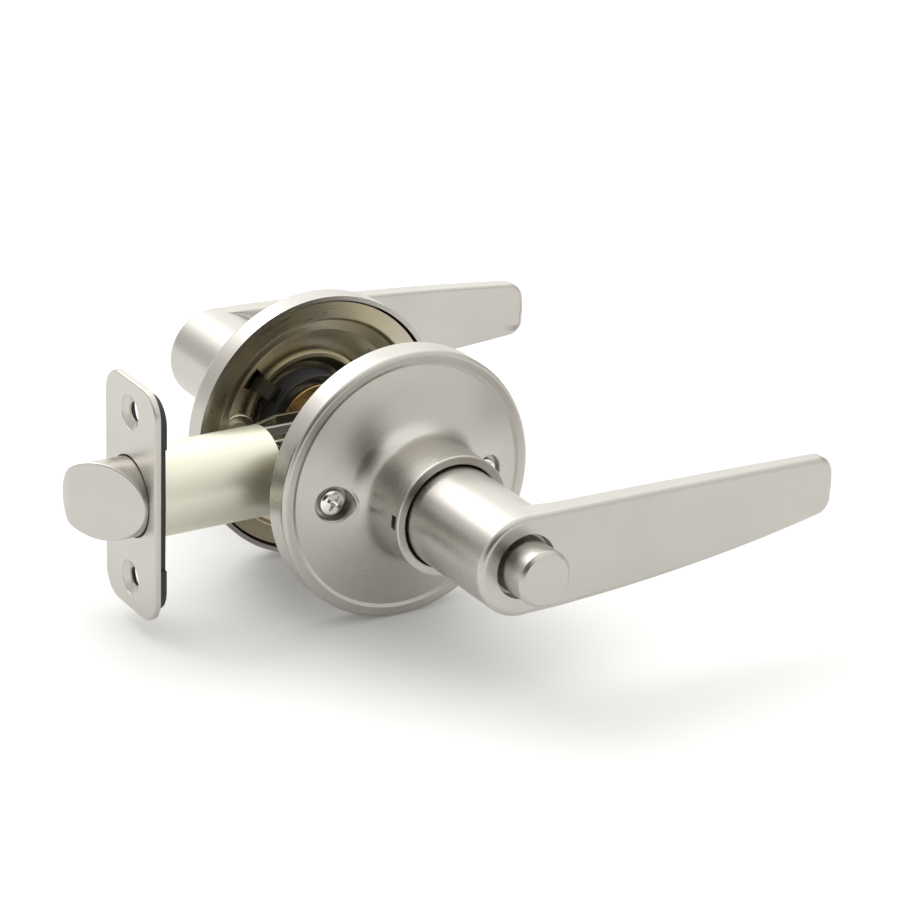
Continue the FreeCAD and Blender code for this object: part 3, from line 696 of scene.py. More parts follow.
def plate_parts(side):
    """Stamped mounting plate: a closed turned shell whose two skins lose the windows' cells.

    Walls join the two skins along every border between a kept and a lost cell. Two flat pads carry the
    through bolts; the four tabs that bend in from the windows are made by tab_parts.
    """
    door_side = rounded([
        (31.6, 1.0, 0.25), (27.4, 1.0, 0.5), (26.6, 2.4, 0.8), (23.7, 4.1, 1.0), (22.4, 4.5, 0)], steps=6)
    bowl = arc_through((22.4, 4.5), (20.2, 5.2), (17.5, 6.4), 22)[1:]
    well = rounded([
        (17.5, 6.4, 0), (17.15, 6.5, 0.15), (17.1, 5.95, 0.25), (15.7, 5.95, 0.35), (15.4, 7.9, 0.3),
        (13.6, 9.8, 0.3), (9.05, 9.8, 0.15)], steps=4)[1:]
    line = np.vstack([door_side, bowl, well])
    behind = np.array([(9.05, 11.3), (14.2, 11.3), (15.4, 9.75), (17.2, 8.35), (20.5, 6.75), (24.0, 5.6),
                       (27.6, 3.6), (28.3, 2.5), (31.6, 2.5)])
    rear = np.stack([line[:, 0], np.interp(line[:, 0], behind[:, 0], behind[:, 1])], -1)
    half = math.radians(7.4)
    turn = angles(200)
    edges = np.concatenate([TAB_TURNS - half, TAB_TURNS + half])
    turn = turn[np.abs(turn[:, None] - edges).min(1) > 0.01]
    turn = np.sort(np.concatenate([turn, edges]))
    front, back = about_y(line, side, turn=turn), about_y(rear, side, turn=turn)
    if side == ROOM:
        for skin, limit in ((front, 3.2), (back, 4.45)):
            under = np.clip((CUP_R - np.hypot(np.abs(skin[..., 0]) - SCREW_X, skin[..., 2])) / 0.9, 0, 1)
            h = side * skin[..., 1] - HALF
            skin[..., 1] = at(side, h * (1 - under) + np.minimum(h, limit) * under)
    centre_r = (line[:-1, 0] + line[1:, 0]) / 2
    step = (np.roll(turn, -1) - turn) % (2 * math.pi)
    centre_a = turn + step / 2
    near = np.abs((centre_a[:, None] - TAB_TURNS + math.pi) % (2 * math.pi) - math.pi).min(1) < half
    lost = ((centre_r > 18.3) & (centre_r < 22.4))[:, None] & near[None]
    rows, columns = front.shape[:2]
    index = np.arange(rows * columns).reshape(rows, columns)
    index = np.hstack([index, index[:, :1]])
    cells = np.stack([index[:-1, :-1], index[:-1, 1:], index[1:, 1:], index[1:, :-1]], -1)
    skin = cells[~lost]
    other = rows * columns
    across = lost != np.roll(lost, 1, 1)
    a, b = index[:-1, :-1][across], index[1:, :-1][across]
    side_walls = np.stack([a, b, b + other, a + other], -1)
    along = np.vstack([lost[:1] * 0 + 1, lost[1:] != lost[:-1], lost[:1] * 0 + 1]).astype(bool)
    a, b = index[:, :-1][along], index[:, 1:][along]
    row_walls = np.stack([a, b, b + other, a + other], -1)
    shell = (np.vstack([front.reshape(-1, 3), back.reshape(-1, 3)]),
             np.vstack([skin, skin[:, ::-1] + other, side_walls, row_walls]))
    hub = about_y(rounded([
        (10.6, 10.9, 0), (10.6, 12.9, 0.3), (9.06, 12.9, 0.2), (9.06, 9.9, 0), (10.3, 9.9, 0)],
        closed=True, steps=4), side, 128)
    parts = [shell, surface(hub, close_rows=True)]
    if side == ROOM:
        pad = [(2.4, 4.5, 0.1), (2.4, 3.0, 0.25), (CUP_R, 3.0, 0.6), (CUP_R, 4.5, 0), (5.35, 4.5, 0)]
    else:
        pad = [(2.1, 8.6, 0), (2.1, 4.0, 0.25), (5.2, 4.0, 0.6), (5.2, 8.6, 0)]
    for x in (-SCREW_X, SCREW_X):
        ring = about_y(rounded(pad, closed=True, steps=5), side, 64, centre=(x, 0))
        parts.append(surface(ring, close_rows=True))
    return parts


def tab_parts(side):
    """Four sheet tabs: a bent line of (r, h) carried 4 mm across, turned to each window."""
    line = rounded([(18.7, 6.9, 0), (17.5, 6.9, 0.9), (14.2, 4.1, 0.5), (13.95, 3.45, 0)], steps=5)
    across = np.linspace(-2.0, 2.0, 5)
    parts = []
    for angle in TAB_TURNS:
        c, s = math.cos(angle), math.sin(angle)
        r, h = line[:, :1], line[:, 1:]
        x, z = r * c - across * s, r * s + across * c
        parts.append(surface(np.stack([x, at(side, h) + 0 * across, z], -1), close_columns=False))
    return parts


def spring_path(radius, start, length, turns, count, lead=0.0):
    """Points of a helix along its own axis: (radius cos a, start + length rise, radius sin a).

    The rise is the share of the angle, blended by the lead with a rise that climbs only in the first and the
    last half turn.
    """
    angle = np.linspace(0, 2 * math.pi * turns, count)
    t = angle / angle[-1]
    ends = 0.5 + 0.5 * np.clip(2 * t * turns, 0, 1) - 0.5 * np.clip(2 * (1 - t) * turns, 0, 1)
    rise = t * (1 - lead) + ends * lead
    return radius * np.cos(angle), start + length * rise, radius * np.sin(angle)


def return_spring_parts(side):
    """Torsion spring: a helix of round wire."""
    u, h, w = spring_path(12.0, 2.7, 5.62, 4.5, 460)
    path = np.stack([u, at(side, h), w], -1)
    return [surface(tube_along(path, 0.6, 14))]


def long_spring_parts(radius, wire, start, end, turns, axis):
    """Compression spring between two heights on its axis, with closer end turns."""
    u, v, w = spring_path(radius, start, end - start, turns, int(turns * 56), 0.12)
    columns = {"x": (v, u, w), "y": (u, v, w)}[axis]
    return [surface(tube_along(np.stack(columns, -1), wire / 2, 10))]


def plate_loop(width, length, corner, cut):
    """Outline of a plate in (y, z) with round corners. Its three cells meet at the heights cut and -cut."""
    w, l = width / 2, length / 2
    return rounded([
        (w, cut, 0), (w, l, corner), (-w, l, corner), (-w, cut, 0),
        (-w, -cut, 0), (-w, -l, corner), (w, -l, corner), (w, -cut, 0)], closed=True, steps=12)


def faceplate_parts(x0, x1, width, length, corner, bolt_hole, screw_hole, sink, edge):
    """Plate on the door's edge, from x0 outside to x1, with a bolt hole and two screw holes.

    The outline is sampled once, and every row round the plate's edge is that outline moved in along its own
    normal, so all rows have the same columns. Each of the three cells is skinned by straight lines from its
    border to its hole; the screw holes are countersunk on the outside.
    """
    cut = 12.6
    outline = resampled(plate_loop(width, length, corner, cut), 1.1, closed=True)
    tangent = np.roll(outline, -1, 0) - np.roll(outline, 1, 0)
    tangent /= np.maximum(np.linalg.norm(tangent, axis=1), 1e-9)[:, None]
    normal = np.stack([tangent[:, 1], -tangent[:, 0]], -1)
    inward = -normal if (normal * outline).sum() > 0 else normal
    quarter = np.linspace(0, math.pi / 2, 5)
    rows = [(x0 + edge * (1 - math.sin(math.pi / 2 - a)), edge * (1 - math.sin(a))) for a in quarter]
    rows = [(x0, edge + 0.1)] + rows + [(x1 - 0.1, 0.0), (x1, 0.1), (x1, edge + 0.1)]
    wall = np.stack([np.hstack([np.full((len(outline), 1), x), outline + inward * d]) for x, d in rows])
    parts = [surface(wall)]
    rim = outline + inward * (edge + 0.1)
    top = rim[outline[:, 1] >= cut - 1e-4]
    low = rim[outline[:, 1] <= -cut + 1e-4]
    right = rim[(outline[:, 0] > 0) & (np.abs(outline[:, 1]) <= cut + 1e-4)]
    left = rim[(outline[:, 0] < 0) & (np.abs(outline[:, 1]) <= cut + 1e-4)]

    def seam(z, start, end):
        return np.stack([np.linspace(start, end, 15), np.full(15, z)], -1)[1:-1]
    top = top[np.argsort(np.arctan2(top[:, 1] - FACE_SCREW_Z, top[:, 0]))]
    low = low[np.argsort(np.arctan2(low[:, 1] + FACE_SCREW_Z, low[:, 0]))]
    reach = right[:, 0].max()
    borders = (
        (np.vstack([top, seam(cut, -reach, reach)]), (0.0, FACE_SCREW_Z), screw_hole, sink),
        (np.vstack([low, seam(-cut, -reach, reach)]), (0.0, -FACE_SCREW_Z), screw_hole, sink),
        (np.vstack([right, left, seam(cut, -reach, reach), seam(-cut, -reach, reach)]),
         (0.0, 0.0), bolt_hole, 0))
    for border, centre, hole, cone in borders:
        centre = np.array(centre)
        way = np.arctan2(*(border - centre).T[::-1])
        border = border[np.argsort(way)]
        unit = border - centre
        unit /= np.linalg.norm(unit, axis=1)[:, None]
        mouth = hole + cone
        soft = 0.12
        throat = x0 + max(cone * 0.6, soft * 1.5)
        ring_rows = [
            (x0, mouth + soft), (x0 + soft * 0.3, mouth + soft * 0.3), (x0 + soft, mouth),
            (throat, hole), (throat + 0.05, hole), (x1 - 0.1, hole), (x1, hole + 0.1)]
        inwards = [border * (1 - t) + (centre + unit * (mouth + soft)) * t for t in (0, 0.35, 0.7, 0.97)]
        grid = [np.hstack([np.full((len(border), 1), x0), row]) for row in inwards]
        grid += [np.hstack([np.full((len(border), 1), x), centre + unit * r]) for x, r in ring_rows]
        grid.append(np.hstack([np.full((len(border), 1), x1), border]))
        parts.append(surface(np.stack(grid)))
    return parts


def bolt_parts(sizes):
    """Spring bolt: a round bar whose end is the farther in of a flat tip and a slanted plane.

    Over the polar grid x is a smooth maximum of the tip and the plane, log(sum of exponentials); the round
    wall starts at that height after a small rounding, and the rear has a stop flange and a bore.
    """
    radius = sizes.bolt_radius / MM
    edge = 0.35
    turn = angles(240)

    root, root_y, slant = -61.2, -9.6, 11.8 / 16.1
    sharp = 4.5

    def nose(y):
        plane = root + (root_y - y) * slant
        return np.log(np.exp(sharp * (plane - BOLT_TIP)) + 1.0) / sharp + BOLT_TIP
    r = np.concatenate([np.linspace(0, radius - edge - 0.12, 30), [radius - edge]])[:, None]
    y, z = r * np.cos(turn), r * np.sin(turn)
    rows = [np.stack([nose(y), y, z], -1)]
    rim_x = nose((radius - edge) * np.cos(turn))
    slope = np.gradient(rim_x) / np.gradient(turn) / radius
    tilt = (nose(radius * np.cos(turn)) - rim_x) / edge
    for a in np.linspace(0, math.pi / 2, 7)[1:]:
        rr = radius - edge * (1 - math.sin(a))
        x = rim_x + tilt * edge * math.sin(a) * 0.6 + edge * (1 - math.cos(a)) * (1 + 0.35 * np.abs(slope))
        rows.append(np.stack([x, rr * np.cos(turn), rr * np.sin(turn)], -1)[None])
    last = rows[-1][0][:, 0]
    for t in (0.04, 0.5, 1.0):
        x = last * (1 - t) + (BOLT_SEAT - 0.1) * t
        rows.append(np.stack([x, radius * np.cos(turn), radius * np.sin(turn)], -1)[None])
    rear = rounded([
        (radius, BOLT_SEAT, 0), (10.0, BOLT_SEAT, 0.1), (10.0, -57.0, 0.2), (5.5, -57.0, 0.2),
        (5.5, -61.4, 0), (0, -61.4, 0)], steps=4)
    rows.append(about_x(rear[1:], 240))
    return [surface(np.concatenate(rows))]


# ---------------------------------------------------------------- finishes

class Tree:
    """Adds shader nodes to a material and links them."""

    def __init__(self, owner):
        self.nodes = owner.node_tree.nodes
        self.links = owner.node_tree.links

    def add(self, kind, inputs=None, **settings):
        """A node with its settings and inputs; an input given as a socket is linked."""
        made = self.nodes.new(kind)
        for key, value in settings.items():
            setattr(made, key, value)
        for key, value in (inputs or {}).items():
            if isinstance(value, bpy.types.NodeSocket):
                self.links.new(value, made.inputs[key])
            else:
                made.inputs[key].default_value = value
        return made

    def math(self, operation, a, b=0.0):
        """One math node's value."""
        return self.add("ShaderNodeMath", {0: a, 1: b}, operation=operation).outputs[0]

    def noise(self, vector, scale, detail=2.0, roughness=0.5):
        """Noise between 0 and 1."""
        return self.add("ShaderNodeTexNoise", {
            "Vector": vector, "Scale": scale, "Detail": detail, "Roughness": roughness}).outputs["Fac"]

    def ramp(self, value, low, high, start, end):
        """Value mapped from low..high to start..end and clamped."""
        return self.add("ShaderNodeMapRange", {
            "Value": value, "From Min": low, "From Max": high, "To Min": start, "To Max": end}).outputs[0]

    def blend(self, factor, a, b):
        """Colour between two colours."""
        made = self.add("ShaderNodeMix", data_type="RGBA")
        for socket, value in ((made.inputs[0], factor), (made.inputs[6], a), (made.inputs[7], b)):
            if isinstance(value, bpy.types.NodeSocket):
                self.links.new(value, socket)
            else:
                socket.default_value = value if isinstance(value, float) else (*value, 1.0)
        return made.outputs[2]


def grain_vector(tree, run, side=ROOM):
    """Coordinates in which the brushing is stretched, from Object coordinates.

    'turned' gives (cos a, sin a, r - height), so strokes run round the spindle's axis; 'long' strokes run
    along X, 'upright' ones along Z and 'tube' ones round the latch's axis.
    """
    place = tree.add("ShaderNodeTexCoord").outputs["Object"]
    if run in ("turned", "tube"):
        split = tree.add("ShaderNodeSeparateXYZ", {0: place})
        first, second, along = (0, 2, 1) if run == "turned" else (1, 2, 0)
        a, b = split.outputs[first], split.outputs[second]
        squares = [tree.math("MULTIPLY", v, v) for v in (a, b)]
        radius = tree.math("POWER", tree.math("ADD", *squares), 0.5)
        height = tree.math("MULTIPLY", split.outputs[along], float(-side))
        fine = tree.math("MULTIPLY", tree.math("ADD", radius, height), 3600.0)
        around = [
            tree.math("MULTIPLY", tree.math("DIVIDE", v, tree.math("ADD", radius, 1e-5)), 5.0) for v in (a, b)]
        return place, tree.add("ShaderNodeCombineXYZ", {0: around[0], 1: around[1], 2: fine}).outputs[0]
    scale = {"long": (90.0, 3600.0, 3600.0), "upright": (3000.0, 3000.0, 110.0), "none": (2400.0,) * 3}[run]
    return place, tree.add("ShaderNodeMapping", {"Vector": place, "Scale": scale}).outputs[0]


def metal(name, colour, roughness, run="none", side=ROOM, stroke=0.10, cloud=0.06, bump=0.12, tint=None,
          spots=0.0, cloud_scale=38.0):
    """Plated metal: brushing in colour, roughness and bump, broad clouding, fine pits and a few darker spots."""
    material = bpy.data.materials.new(name)
    material.use_nodes = True
    tree = Tree(material)
    shader = tree.nodes["Principled BSDF"]
    place, grain = grain_vector(tree, run, side)
    strokes = tree.noise(grain, 1.0, 3.0, 0.6)
    clouds = tree.noise(place, cloud_scale, 3.0, 0.55)
    pits = tree.noise(place, 2600.0, 2.0, 0.6)
    base = np.array(colour)
    darker = tuple(np.clip(base * (1 - stroke), 0, 1))
    lighter = tuple(np.clip(base * (1 + stroke), 0, 1))
    tinted = tuple(np.clip(base * (np.array(tint) if tint is not None else 1 - cloud * 1.6), 0, 1))
    shade = tree.blend(tree.ramp(strokes, 0.32, 0.68, 0.0, 1.0), darker, lighter)
    shade = tree.blend(tree.ramp(clouds, 0.38, 0.68, 0.0, 0.75), shade, tinted)
    if spots:
        marks = tree.noise(place, 420.0, 4.0, 0.7)
        shade = tree.blend(tree.ramp(marks, 0.60, 0.72, 0.0, spots), shade, tuple(base * 0.45))
    rough = tree.math("ADD", tree.ramp(strokes, 0.3, 0.7, roughness * 0.86, roughness * 1.12),
                      tree.ramp(clouds, 0.35, 0.7, -0.02, 0.03))
    relief = tree.math("ADD", tree.math("MULTIPLY", strokes, 0.7), tree.math("MULTIPLY", pits, 0.3))
    lift = tree.add("ShaderNodeBump", {"Strength": bump, "Distance": 0.00006, "Height": relief})
    tree.links.new(shade, shader.inputs["Base Color"])
    tree.links.new(rough, shader.inputs["Roughness"])
    tree.links.new(lift.outputs[0], shader.inputs["Normal"])
    shader.inputs["Metallic"].default_value = 1.0
    return material


def moulded(name, colour, roughness, grit):
    """Moulded plastic: slight colour clouding, uneven gloss and a fine sparkly grit."""
    material = bpy.data.materials.new(name)
    material.use_nodes = True
    tree = Tree(material)
    shader = tree.nodes["Principled BSDF"]
    place, fine = grain_vector(tree, "none")
    clouds = tree.noise(place, 70.0, 3.0)
    grain = tree.noise(fine, 1.0, 2.0, 0.6)
    base = np.array(colour)
    shade = tree.blend(
        tree.ramp(clouds, 0.35, 0.65, 0.0, 1.0), tuple(base * 0.8), tuple(np.clip(base * 1.4, 0, 1)))
    rough = tree.ramp(grain, 0.3, 0.7, roughness * 0.85, roughness * 1.15)
    lift = tree.add("ShaderNodeBump", {"Strength": grit, "Distance": 0.00008, "Height": grain})
    tree.links.new(shade, shader.inputs["Base Color"])
    tree.links.new(rough, shader.inputs["Roughness"])
    tree.links.new(lift.outputs[0], shader.inputs["Normal"])
    return material


def finish(name):
    """A finish by its name, made when it is first asked for."""
    if name in bpy.data.materials:
        return bpy.data.materials[name]
    f = bpy.context.scene.lever_set_finishes
    nickel, rough = tuple(f.nickel), f.nickel_roughness
    makers = {
        "nickel_turned_room": lambda: metal(name, nickel, rough, "turned", ROOM, 0.02, 0.03, 0.05),
        "nickel_turned_outer": lambda: metal(name, nickel, rough, "turned", OUTER, 0.02, 0.03, 0.05),
        "nickel_long": lambda: metal(name, nickel, rough, "long", ROOM, 0.025, 0.03, 0.06),
        "nickel_upright": lambda: metal(
            name, tuple(np.array(nickel) * 1.05), rough * 1.05, "upright", ROOM, 0.045, 0.03, 0.14),
        "bright_nickel": lambda: metal(
            name, tuple(f.screw_nickel), 0.13, "none", ROOM, 0.07, 0.08, 0.05, spots=0.3),
        # painted shade: the room side plate is the same yellow zinc at half its colour, a shaded copy of the outer
        # plate's finish
        "yellow_zinc_room_painted_shade": lambda: metal(
            name, tuple(0.5 * np.array(f.yellow_zinc)), 0.30, "turned", ROOM, 0.06, 0.1, 0.10,
            (1.10, 1.02, 0.78), 0.2, 60.0),
        "yellow_zinc_outer": lambda: metal(
            name, tuple(f.yellow_zinc), 0.30, "turned", OUTER, 0.06, 0.1, 0.10, (1.10, 1.02, 0.78), 0.2, 60.0),
        # painted shade: the tabs are the plates' own yellow zinc at 0.3 of its colour, darkened to look shaded in
        # the windows
        "yellow_zinc_tab_painted_shade": lambda: metal(
            name, tuple(0.3 * np.array(f.yellow_zinc)), 0.34, "none", ROOM, 0.08, 0.1, 0.10,
            (1.12, 1.0, 0.75), 0.2, 90.0),
        "yellow_zinc_flat": lambda: metal(
            name, tuple(0.55 * np.array(f.yellow_zinc)), 0.28, "long", ROOM, 0.08, 0.1, 0.10,
            (1.12, 1.0, 0.75), 0.25, 90.0),
        "pale_zinc": lambda: metal(
            name, tuple(f.pale_zinc), 0.22, "tube", ROOM, 0.04, 0.05, 0.07, (0.98, 0.96, 0.84), 0.08, 45.0),
        "zinc_steel": lambda: metal(
            name, tuple(f.steel), 0.30, "none", ROOM, 0.10, 0.1, 0.15, (0.95, 0.98, 1.04), 0.3, 120.0),
        "brass": lambda: metal(
            name, tuple(f.brass), 0.28, "turned", ROOM, 0.08, 0.1, 0.12, (1.05, 0.90, 0.75), 0.25, 120.0),
        "spring_steel": lambda: metal(name, tuple(f.steel), 0.22, "none", ROOM, 0.08, 0.08, 0.10, spots=0.2),
        "black_spring": lambda: metal(
            name, tuple(f.black_spring), 0.34, "none", ROOM, 0.35, 0.2, 0.20, (1.6, 1.4, 1.2), 0.2, 200.0),
        "slot_shadow": lambda: metal(name, (0.03, 0.028, 0.025), 0.6, "none", ROOM, 0.3, 0.2, 0.2),
        "nylon": lambda: moulded(name, tuple(f.nylon), 0.45, 0.10),
        "black_plastic": lambda: moulded(name, tuple(f.black_plastic), 0.55, 0.14),
    }
    return makers[name]()


def dress(node, material, width):
    """A finish for a CAD node that keeps its own shape.

    The modifiers weld its loose triangles and bevel its sharp edges.
    """
    piece = FRAME["nodes"][node]
    piece.data.materials.clear()
    piece.data.materials.append(finish(material))
    piece.modifiers.new("Weld", "WELD").merge_threshold = 2e-6
    break_edges(piece, width, 32)


# ---------------------------------------------------------------- pieces

class LEVERSET_OT_roses(bpy.types.Operator):
    """Make the two round roses"""

    bl_idname = "lever_set.roses"
    bl_label = "Roses"

    def execute(self, context):
        for side, look in ((ROOM, "nickel_turned_room"), (OUTER, "nickel_turned_outer")):
            node = side_name(side) + "_rose"
            put(node + "_looks", "lock_frame", rose_parts(context.scene.lever_set_sizes, side),
                [finish(look), finish("slot_shadow")], [node])
        return {"FINISHED"}


class LEVERSET_OT_levers(bpy.types.Operator):
    """Make the two levers"""

    bl_idname = "lever_set.levers"
    bl_label = "Levers"

    def execute(self, context):
        for side, radius, floor in ((ROOM, 7.58, 48.35), (OUTER, 1.25, 52.0)):
            node = side_name(side) + "_lever"
            put(node + "_looks", side_name(side) + "_handle",
                lever_parts(context.scene.lever_set_sizes, side, radius, floor),
                [finish("nickel_long")], [node])
        return {"FINISHED"}


class LEVERSET_OT_button(bpy.types.Operator):
    """Make the privacy button, its spring and its ring"""

    bl_idname = "lever_set.button"
    bl_label = "Privacy button"

    def execute(self, context):
        put("privacy_button_looks", "button", button_parts(context.scene.lever_set_sizes),
            [finish("nickel_turned_room")], ["privacy_button"])
        seat, rest = 48.35, 59.75
        spring = put("button_spring_looks", FRAME_BODY["button_spring"],
                     long_spring_parts(3.9, 0.5, at(ROOM, seat + 0.25), at(ROOM, rest), 7, "y"),
                     [finish("spring_steel")], ["button_spring"])
        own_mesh(spring)
        for node, look in (("button_retaining_ring", "spring_steel"), ("locking_bar", "zinc_steel"),
                           ("lock_plate", "zinc_steel")):
            dress(node, look, 0.12)
        return {"FINISHED"}


class LEVERSET_OT_through_bolts(bpy.types.Operator):
    """Make the two through bolts and the posts they screw into"""

    bl_idname = "lever_set.through_bolts"
    bl_label = "Through bolts and posts"

    def execute(self, context):
        put("through_bolts_looks", "lock_frame", bolt_head_parts(-SCREW_X) + bolt_head_parts(SCREW_X),
            [finish("bright_nickel")], ["through_bolts"])
        dress("mounting_posts", "zinc_steel", 0.2)
        return {"FINISHED"}


class LEVERSET_OT_mounting_plates(bpy.types.Operator):
    """Make the stamped plates behind the roses"""

    bl_idname = "lever_set.mounting_plates"
    bl_label = "Mounting plates"

    def execute(self, context):
        # the room side plate takes the half-bright yellow zinc, which is painted shade
        for side, look in ((ROOM, "yellow_zinc_room_painted_shade"), (OUTER, "yellow_zinc_outer")):
            node = side_name(side) + "_mounting_plate"
            put(node + "_looks", "lock_frame", plate_parts(side), [finish(look)], [node])
            # the tabs take the darkened yellow zinc: painted shade
            put(node + "_tabs", "lock_frame", tab_parts(side), [finish("yellow_zinc_tab_painted_shade")], [node],
                thickness=1.3, bevel=0.2)
        return {"FINISHED"}


class LEVERSET_OT_drive(bpy.types.Operator):
    """Make the return springs and finish the sleeves, drive plates, rings, bushes and spindle"""

    bl_idname = "lever_set.drive"
    bl_label = "Springs and drive"

    def execute(self, context):
        for side in (ROOM, OUTER):
            name = side_name(side)
            put(name + "_return_spring_looks", FRAME_BODY[name + "_return_spring"], return_spring_parts(side),
                [finish("black_spring")], [name + "_return_spring"])
            for part, look, width in (
                    ("_sleeve", "zinc_steel", 0.2), ("_cam", "brass", 0.2), ("_bush", "nylon", 0.15),
                    ("_retaining_ring", "spring_steel", 0.12), ("_lever_catch", "spring_steel", 0.1)):
                dress(name + part, look, width)
        dress("spindle", "zinc_steel", 0.35)
        return {"FINISHED"}


class LEVERSET_OT_faceplate(bpy.types.Operator):
    """Make the faceplate on the door's edge and the black seat behind it"""

    bl_idname = "lever_set.faceplate"
    bl_label = "Faceplate"

    def execute(self, context):
        s = context.scene.lever_set_sizes
        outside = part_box("faceplate")[0][0] / MM
        put("faceplate_looks", "lock_frame",
            faceplate_parts(outside, outside + 1.6, s.faceplate_width / MM, s.faceplate_length / MM,
                            s.faceplate_corner / MM, 9.85, 2.3, 1.9, 0.4),
            [finish("nickel_upright")], ["faceplate"])
        dress("latch_backplate", "black_plastic", 0.3)
        return {"FINISHED"}


class LEVERSET_OT_latch(bpy.types.Operator):
    """Make the spring bolt, the tube, and the springs and plates of the latch"""

    bl_idname = "lever_set.latch"
    bl_label = "Latch"

    def execute(self, context):
        s = context.scene.lever_set_sizes
        put("latch_bolt_looks", "bolt", bolt_parts(s), [finish("nickel_upright")], ["latch_bolt"])
        tube_r = s.tube_radius / MM
        line = rounded([(tube_r, -58.68, 0.1), (tube_r, -25.4, 0.3), (10.1, -25.4, 0.2), (10.1, -58.68, 0.1)],
                       closed=True, steps=5)
        put("latch_tube_looks", "lock_frame", [surface(about_x(line, 160), close_rows=True)],
            [finish("pale_zinc")], ["latch_tube"])
        seat, rest = -41.3, -61.05
        spring = put("bolt_spring_looks", FRAME_BODY["bolt_spring"],
                     long_spring_parts(3.9, 0.8, rest, seat - 0.45, 6, "x"),
                     [finish("spring_steel")], ["bolt_spring"])
        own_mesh(spring)
        for node, look, width in (
                ("case_front_plate", "yellow_zinc_flat", 0.18), ("case_rear_plate", "yellow_zinc_flat", 0.18),
                ("case_rivets", "zinc_steel", 0.25), ("latch_hub", "zinc_steel", 0.25),
                ("retractor", "zinc_steel", 0.15), ("spring_washer", "zinc_steel", 0.15),
                ("bolt_pull_rod", "zinc_steel", 0.2)):
            dress(node, look, width)
        return {"FINISHED"}


# ---------------------------------------------------------------- stage

def compass(azimuth, elevation):
    """Unit vector towards an azimuth, in degrees from -Y towards +X, and an elevation."""
    a, e = math.radians(azimuth), math.radians(elevation)
    return Vector((math.sin(a) * math.cos(e), -math.cos(a) * math.cos(e), math.sin(e)))


def studio(strength):
    """Soft studio all round: bright overhead, mid grey lower down, and a dark opening in front to the left.

    Brightness is a sum of soft lobes about the bright panels' directions, multiplied by lobes about the dark
    ones; a lobe is a smooth step of the angle's cosine.
    """
    world = bpy.data.worlds.new("studio")
    bpy.context.scene.world = world
    world.use_nodes = True
    tree = Tree(world)
    way = tree.add("ShaderNodeTexCoord").outputs["Generated"]

    def lobe(azimuth, elevation, start, end, outside, inside):
        dot = tree.add("ShaderNodeVectorMath", {0: way, 1: compass(azimuth, elevation)}, operation="DOT_PRODUCT")
        return tree.add("ShaderNodeMapRange", {
            "Value": dot.outputs["Value"], "From Min": math.cos(math.radians(start)),
            "From Max": math.cos(math.radians(end)), "To Min": outside, "To Max": inside},
            interpolation_type="SMOOTHSTEP").outputs[0]
    value = tree.math("ADD", lobe(0, 90, 65, 22, 0.88, 1.26), lobe(160, 42, 50, 12, 0, 0.5))
    for dark in ((-32, 21, 32, 9, 1, 0.05), (-60, 33, 30, 8, 1, 0.35), (-7, 3, 25, 10, 1, 0.05),
                 (-90, 40, 40, 10, 1, 0.75), (104, 5, 34, 14, 1, 0.62), (-140, 4, 35, 12, 1, 0.75)):
        value = tree.math("MULTIPLY", value, lobe(*dark))
    shade = tree.blend(tree.ramp(value, 0.0, 1.0, 0.0, 1.0), (1.0, 0.97, 0.88), (1.0, 0.995, 0.98))
    back = tree.nodes["Background"]
    tree.links.new(shade, back.inputs["Color"])
    tree.links.new(tree.math("MULTIPLY", value, strength), back.inputs["Strength"])


def floor_material(colour):
    """Matt white sweep with faint clouding."""
    material = bpy.data.materials.new("floor_white")
    material.use_nodes = True
    tree = Tree(material)
    shader = tree.nodes["Principled BSDF"]
    place = tree.add("ShaderNodeTexCoord").outputs["Object"]
    clouds = tree.noise(place, 2.0, 2.0)
    base = np.array(colour)
    shade = tree.blend(
        tree.ramp(clouds, 0.3, 0.7, 0.0, 1.0), tuple(base * 0.99), tuple(np.clip(base * 1.01, 0, 1)))
    tree.links.new(shade, shader.inputs["Base Color"])
    tree.links.new(shade, shader.inputs["Emission Color"])
    shader.inputs["Emission Strength"].default_value = 0.13
    shader.inputs["Roughness"].default_value = 0.9
    shader.inputs["Specular IOR Level"].default_value = 0.0
    return material


def add_camera(lens):
    """Camera at the viewing angle: it looks along -back, and its up leans by the roll."""
    azimuth, elevation, roll = math.radians(-32.57), math.radians(22.47), math.radians(2.25)
    back = Vector((math.sin(azimuth) * math.cos(elevation), -math.cos(azimuth) * math.cos(elevation),
                   math.sin(elevation)))
    right = Vector((math.cos(azimuth), math.sin(azimuth), 0))
    up = back.cross(right)
    across = right * math.cos(roll) + up * math.sin(roll)
    above = up * math.cos(roll) - right * math.sin(roll)
    data = bpy.data.cameras.new("camera")
    data.lens = lens
    data.sensor_width = 36
    data.clip_start = 0.05
    data.clip_end = 50
    camera = bpy.data.objects.new("camera", data)
    bpy.context.scene.collection.objects.link(camera)
    camera.matrix_world = Matrix.Translation((-0.35638, -0.59944, 0.28942)) @ Matrix(
        (across, above, back)).transposed().to_4x4()
    bpy.context.scene.camera = camera


def area_light(name, place, target, size, power, colour=(1, 1, 1)):
    """Square soft light that faces a point."""
    data = bpy.data.lights.new(name, "AREA")
    data.shape = "RECTANGLE"
    data.size, data.size_y = size
    data.energy = power
    data.color = colour
    light = bpy.data.objects.new(name, data)
    light.location = place
    light.rotation_euler = (Vector(target) - Vector(place)).to_track_quat("-Z", "Y").to_euler()
    bpy.context.scene.collection.objects.link(light)
    return light


